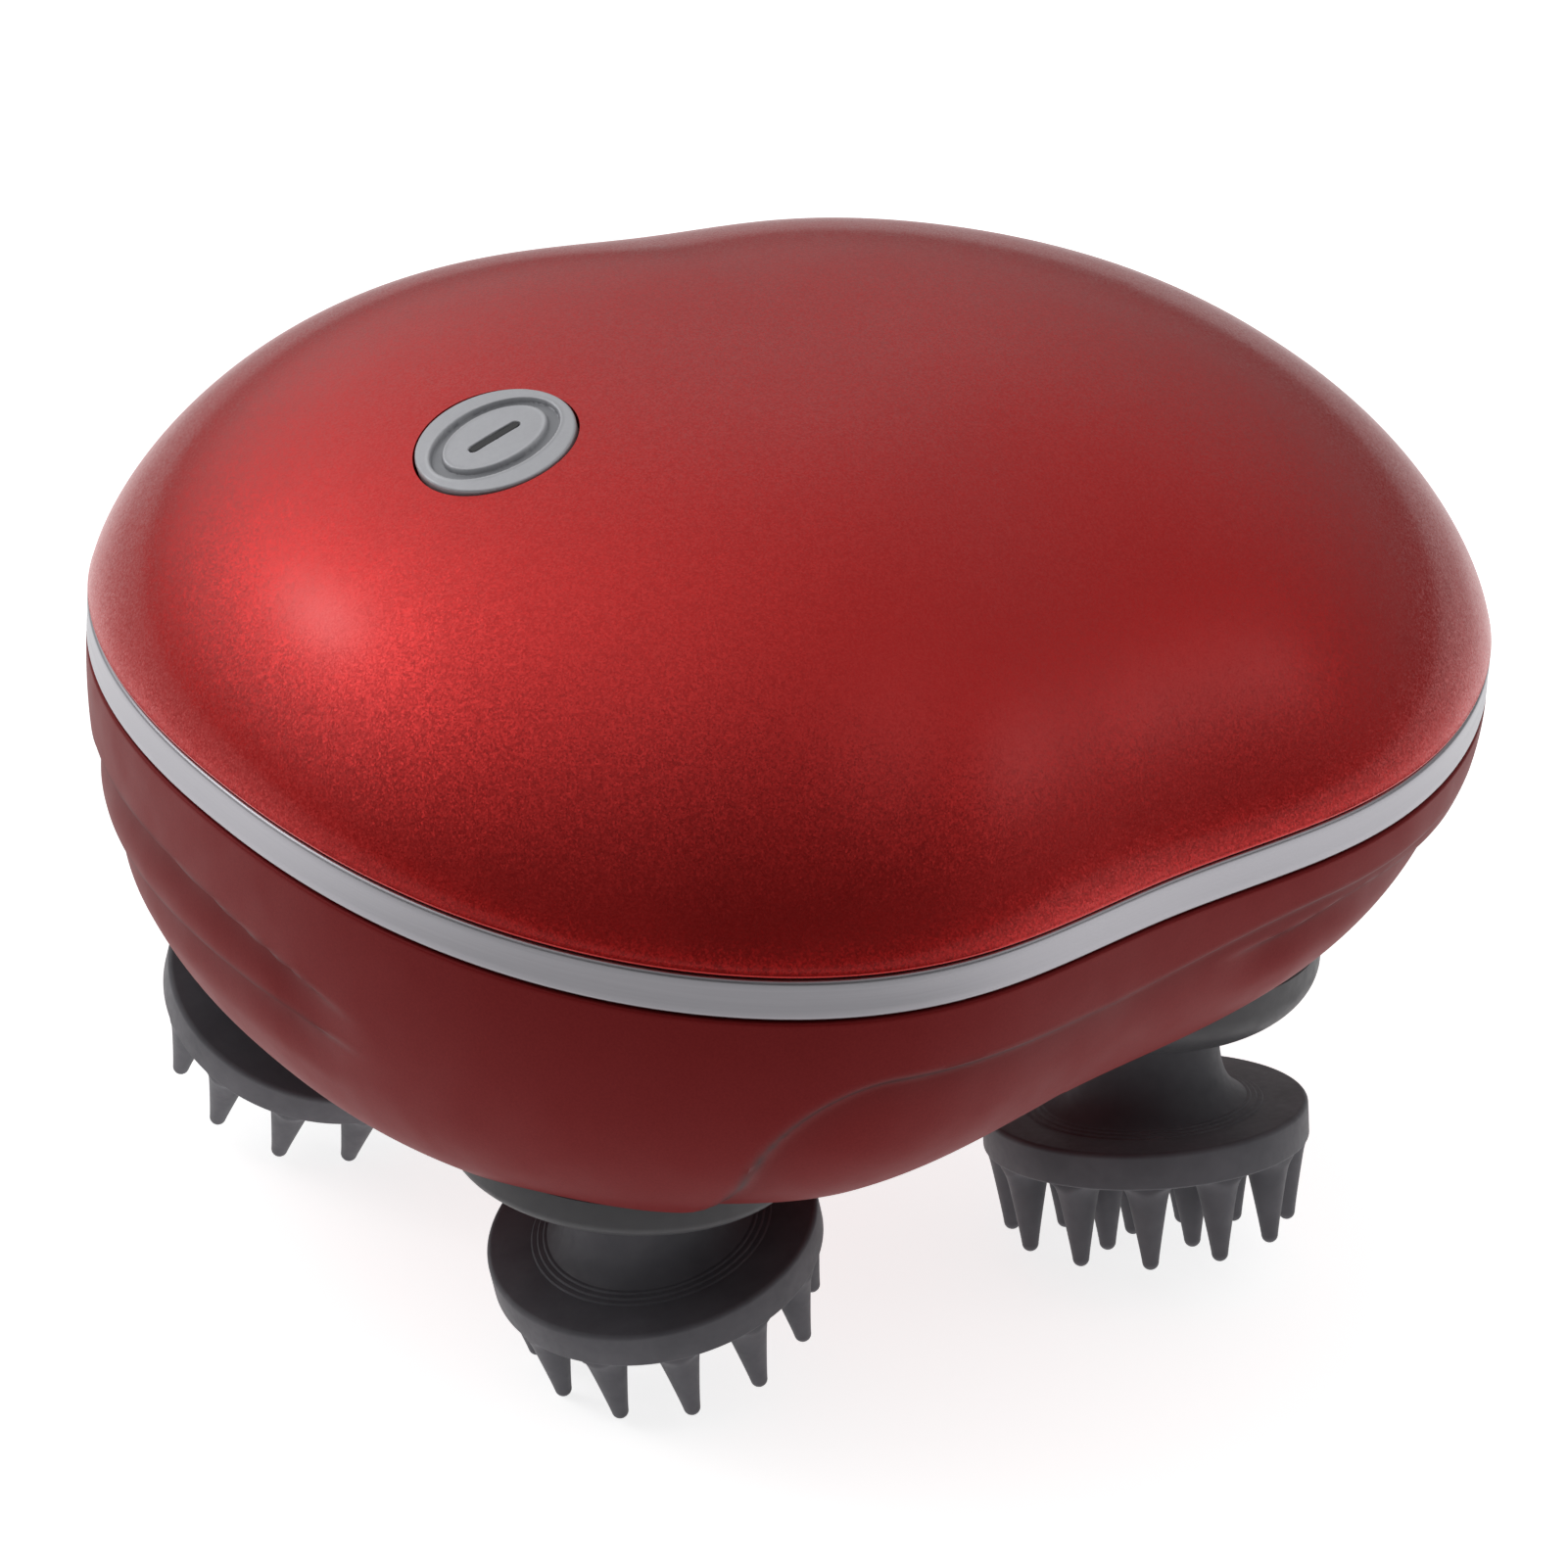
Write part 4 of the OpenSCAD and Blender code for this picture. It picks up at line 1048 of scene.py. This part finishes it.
def make_world():
    """A dim room with soft light panels. The camera sees it white."""
    world = bpy.data.worlds.new("studio")
    world.use_nodes = True
    tree = world.node_tree
    tree.nodes.clear()

    def math_node(operation, *values):
        made = tree.nodes.new("ShaderNodeMath")
        made.operation = operation
        for socket, value in zip(made.inputs, values):
            if isinstance(value, (int, float)):
                socket.default_value = value
            else:
                tree.links.new(value, socket)
        return made.outputs[0]

    way = tree.nodes.new("ShaderNodeTexCoord").outputs["Generated"]
    total = None
    for azimuth, height, width, strength in PANELS:
        a, e = math.radians(azimuth), math.radians(height)
        dot = tree.nodes.new("ShaderNodeVectorMath")
        dot.operation = "DOT_PRODUCT"
        tree.links.new(way, dot.inputs[0])
        dot.inputs[1].default_value = (math.cos(a) * math.cos(e), math.sin(a) * math.cos(e), math.sin(e))
        fall = 2 / math.radians(width) ** 2
        power = math_node("MULTIPLY_ADD", dot.outputs["Value"], fall, -fall)
        lobe = math_node("EXPONENT", power)
        total = math_node("MULTIPLY_ADD", lobe, strength, ROOM if total is None else total)
    # The panels stop a little above the floor
    split = tree.nodes.new("ShaderNodeSeparateXYZ")
    tree.links.new(way, split.inputs[0])
    horizon = tree.nodes.new("ShaderNodeMapRange")
    horizon.inputs["From Min"].default_value = HORIZON[0]
    horizon.inputs["From Max"].default_value = HORIZON[1]
    horizon.inputs["To Min"].default_value = HORIZON_SHARE
    tree.links.new(split.outputs["Z"], horizon.inputs["Value"])
    total = math_node("MULTIPLY", total, horizon.outputs["Result"])
    rays = tree.nodes.new("ShaderNodeLightPath")
    lit = tree.nodes.new("ShaderNodeBackground")
    tree.links.new(total, lit.inputs["Strength"])
    seen = tree.nodes.new("ShaderNodeBackground")
    seen.inputs["Color"].default_value = (1, 1, 1, 1)
    mix = tree.nodes.new("ShaderNodeMixShader")
    out = tree.nodes.new("ShaderNodeOutputWorld")
    tree.links.new(rays.outputs["Is Camera Ray"], mix.inputs["Fac"])
    tree.links.new(lit.outputs[0], mix.inputs[1])
    tree.links.new(seen.outputs[0], mix.inputs[2])
    tree.links.new(mix.outputs[0], out.inputs["Surface"])
    bpy.context.scene.world = world
    bpy.context.scene.view_settings.view_transform = "Standard"


def make_floor():
    """A white floor that glows a little, and more strongly for the camera."""
    shader = Shader("pale_floor", roughness=0.9)
    shader.color(shader.mix(shader.noise(6, 2), (0.86, 0.86, 0.86), (0.88, 0.88, 0.88)))
    shader.set("Specular IOR Level", 0.1)
    shader.set("Emission Color", (1, 1, 1, 1))
    # The glow is weaker in front and far away; the camera sees it even
    along = shader.node("ShaderNodeVectorMath", operation="DOT_PRODUCT")
    shader.link(shader.place, along.inputs[0])
    back = math.radians(FLOOR_BACK)
    along.inputs[1].default_value = (math.cos(back), math.sin(back), 0)
    glow = shader.ramp(along.outputs["Value"], *FLOOR_GLOW, *FLOOR_LINE)
    reach = shader.node("ShaderNodeVectorMath", operation="LENGTH")
    shader.link(shader.place, reach.inputs[0])
    fade = shader.node("ShaderNodeMath", operation="MULTIPLY")
    shader.link(glow, fade.inputs[0])
    share = shader.ramp(reach.outputs["Value"], 1.0, FLOOR_FAR_SHARE, *FLOOR_REACH)
    shader.link(share, fade.inputs[1])
    rays = shader.node("ShaderNodeLightPath")
    either = shader.node("ShaderNodeMix")
    shader.link(rays.outputs["Is Camera Ray"], either.inputs["Factor"])
    shader.link(fade.outputs[0], either.inputs[MIX_NUMBER_A])
    either.inputs[MIX_NUMBER_B].default_value = FLOOR_SEEN
    shader.link(either.outputs[0], shader.main.inputs["Emission Strength"])
    # Seen from below, the floor is clear
    clear = shader.node("ShaderNodeBsdfTransparent")
    side = shader.node("ShaderNodeNewGeometry")
    sheet = shader.node("ShaderNodeMixShader")
    shader.link(side.outputs["Backfacing"], sheet.inputs["Fac"])
    shader.link(shader.main.outputs["BSDF"], sheet.inputs[1])
    shader.link(clear.outputs[0], sheet.inputs[2])
    shader.link(sheet.outputs[0], shader.tree.nodes["Material Output"].inputs["Surface"])
    half = FLOOR_HALF / MM
    points = [(-half, -half, 0), (half, -half, 0), (half, half, 0), (-half, half, 0)]
    floor = add_object("floor", points, [(0, 1, 2, 3)])
    floor.data.materials.append(shader.material)


button_frame = at(*BUTTON_PLACE) @ turn_about("Y", -BUTTON_SLOPE)
port_frame = at(*PORT_PLACE) @ turn_about("Y", PORT_TURN)

paint_frame()
make_top_cover(button_frame)
make_trim()
make_lower_housing(port_frame)
make_port_cover(port_frame)
make_button(button_frame)
for head in range(len(HEADS)):
    make_head(head)
    make_collar(head)
make_camera()
make_world()
make_floor()
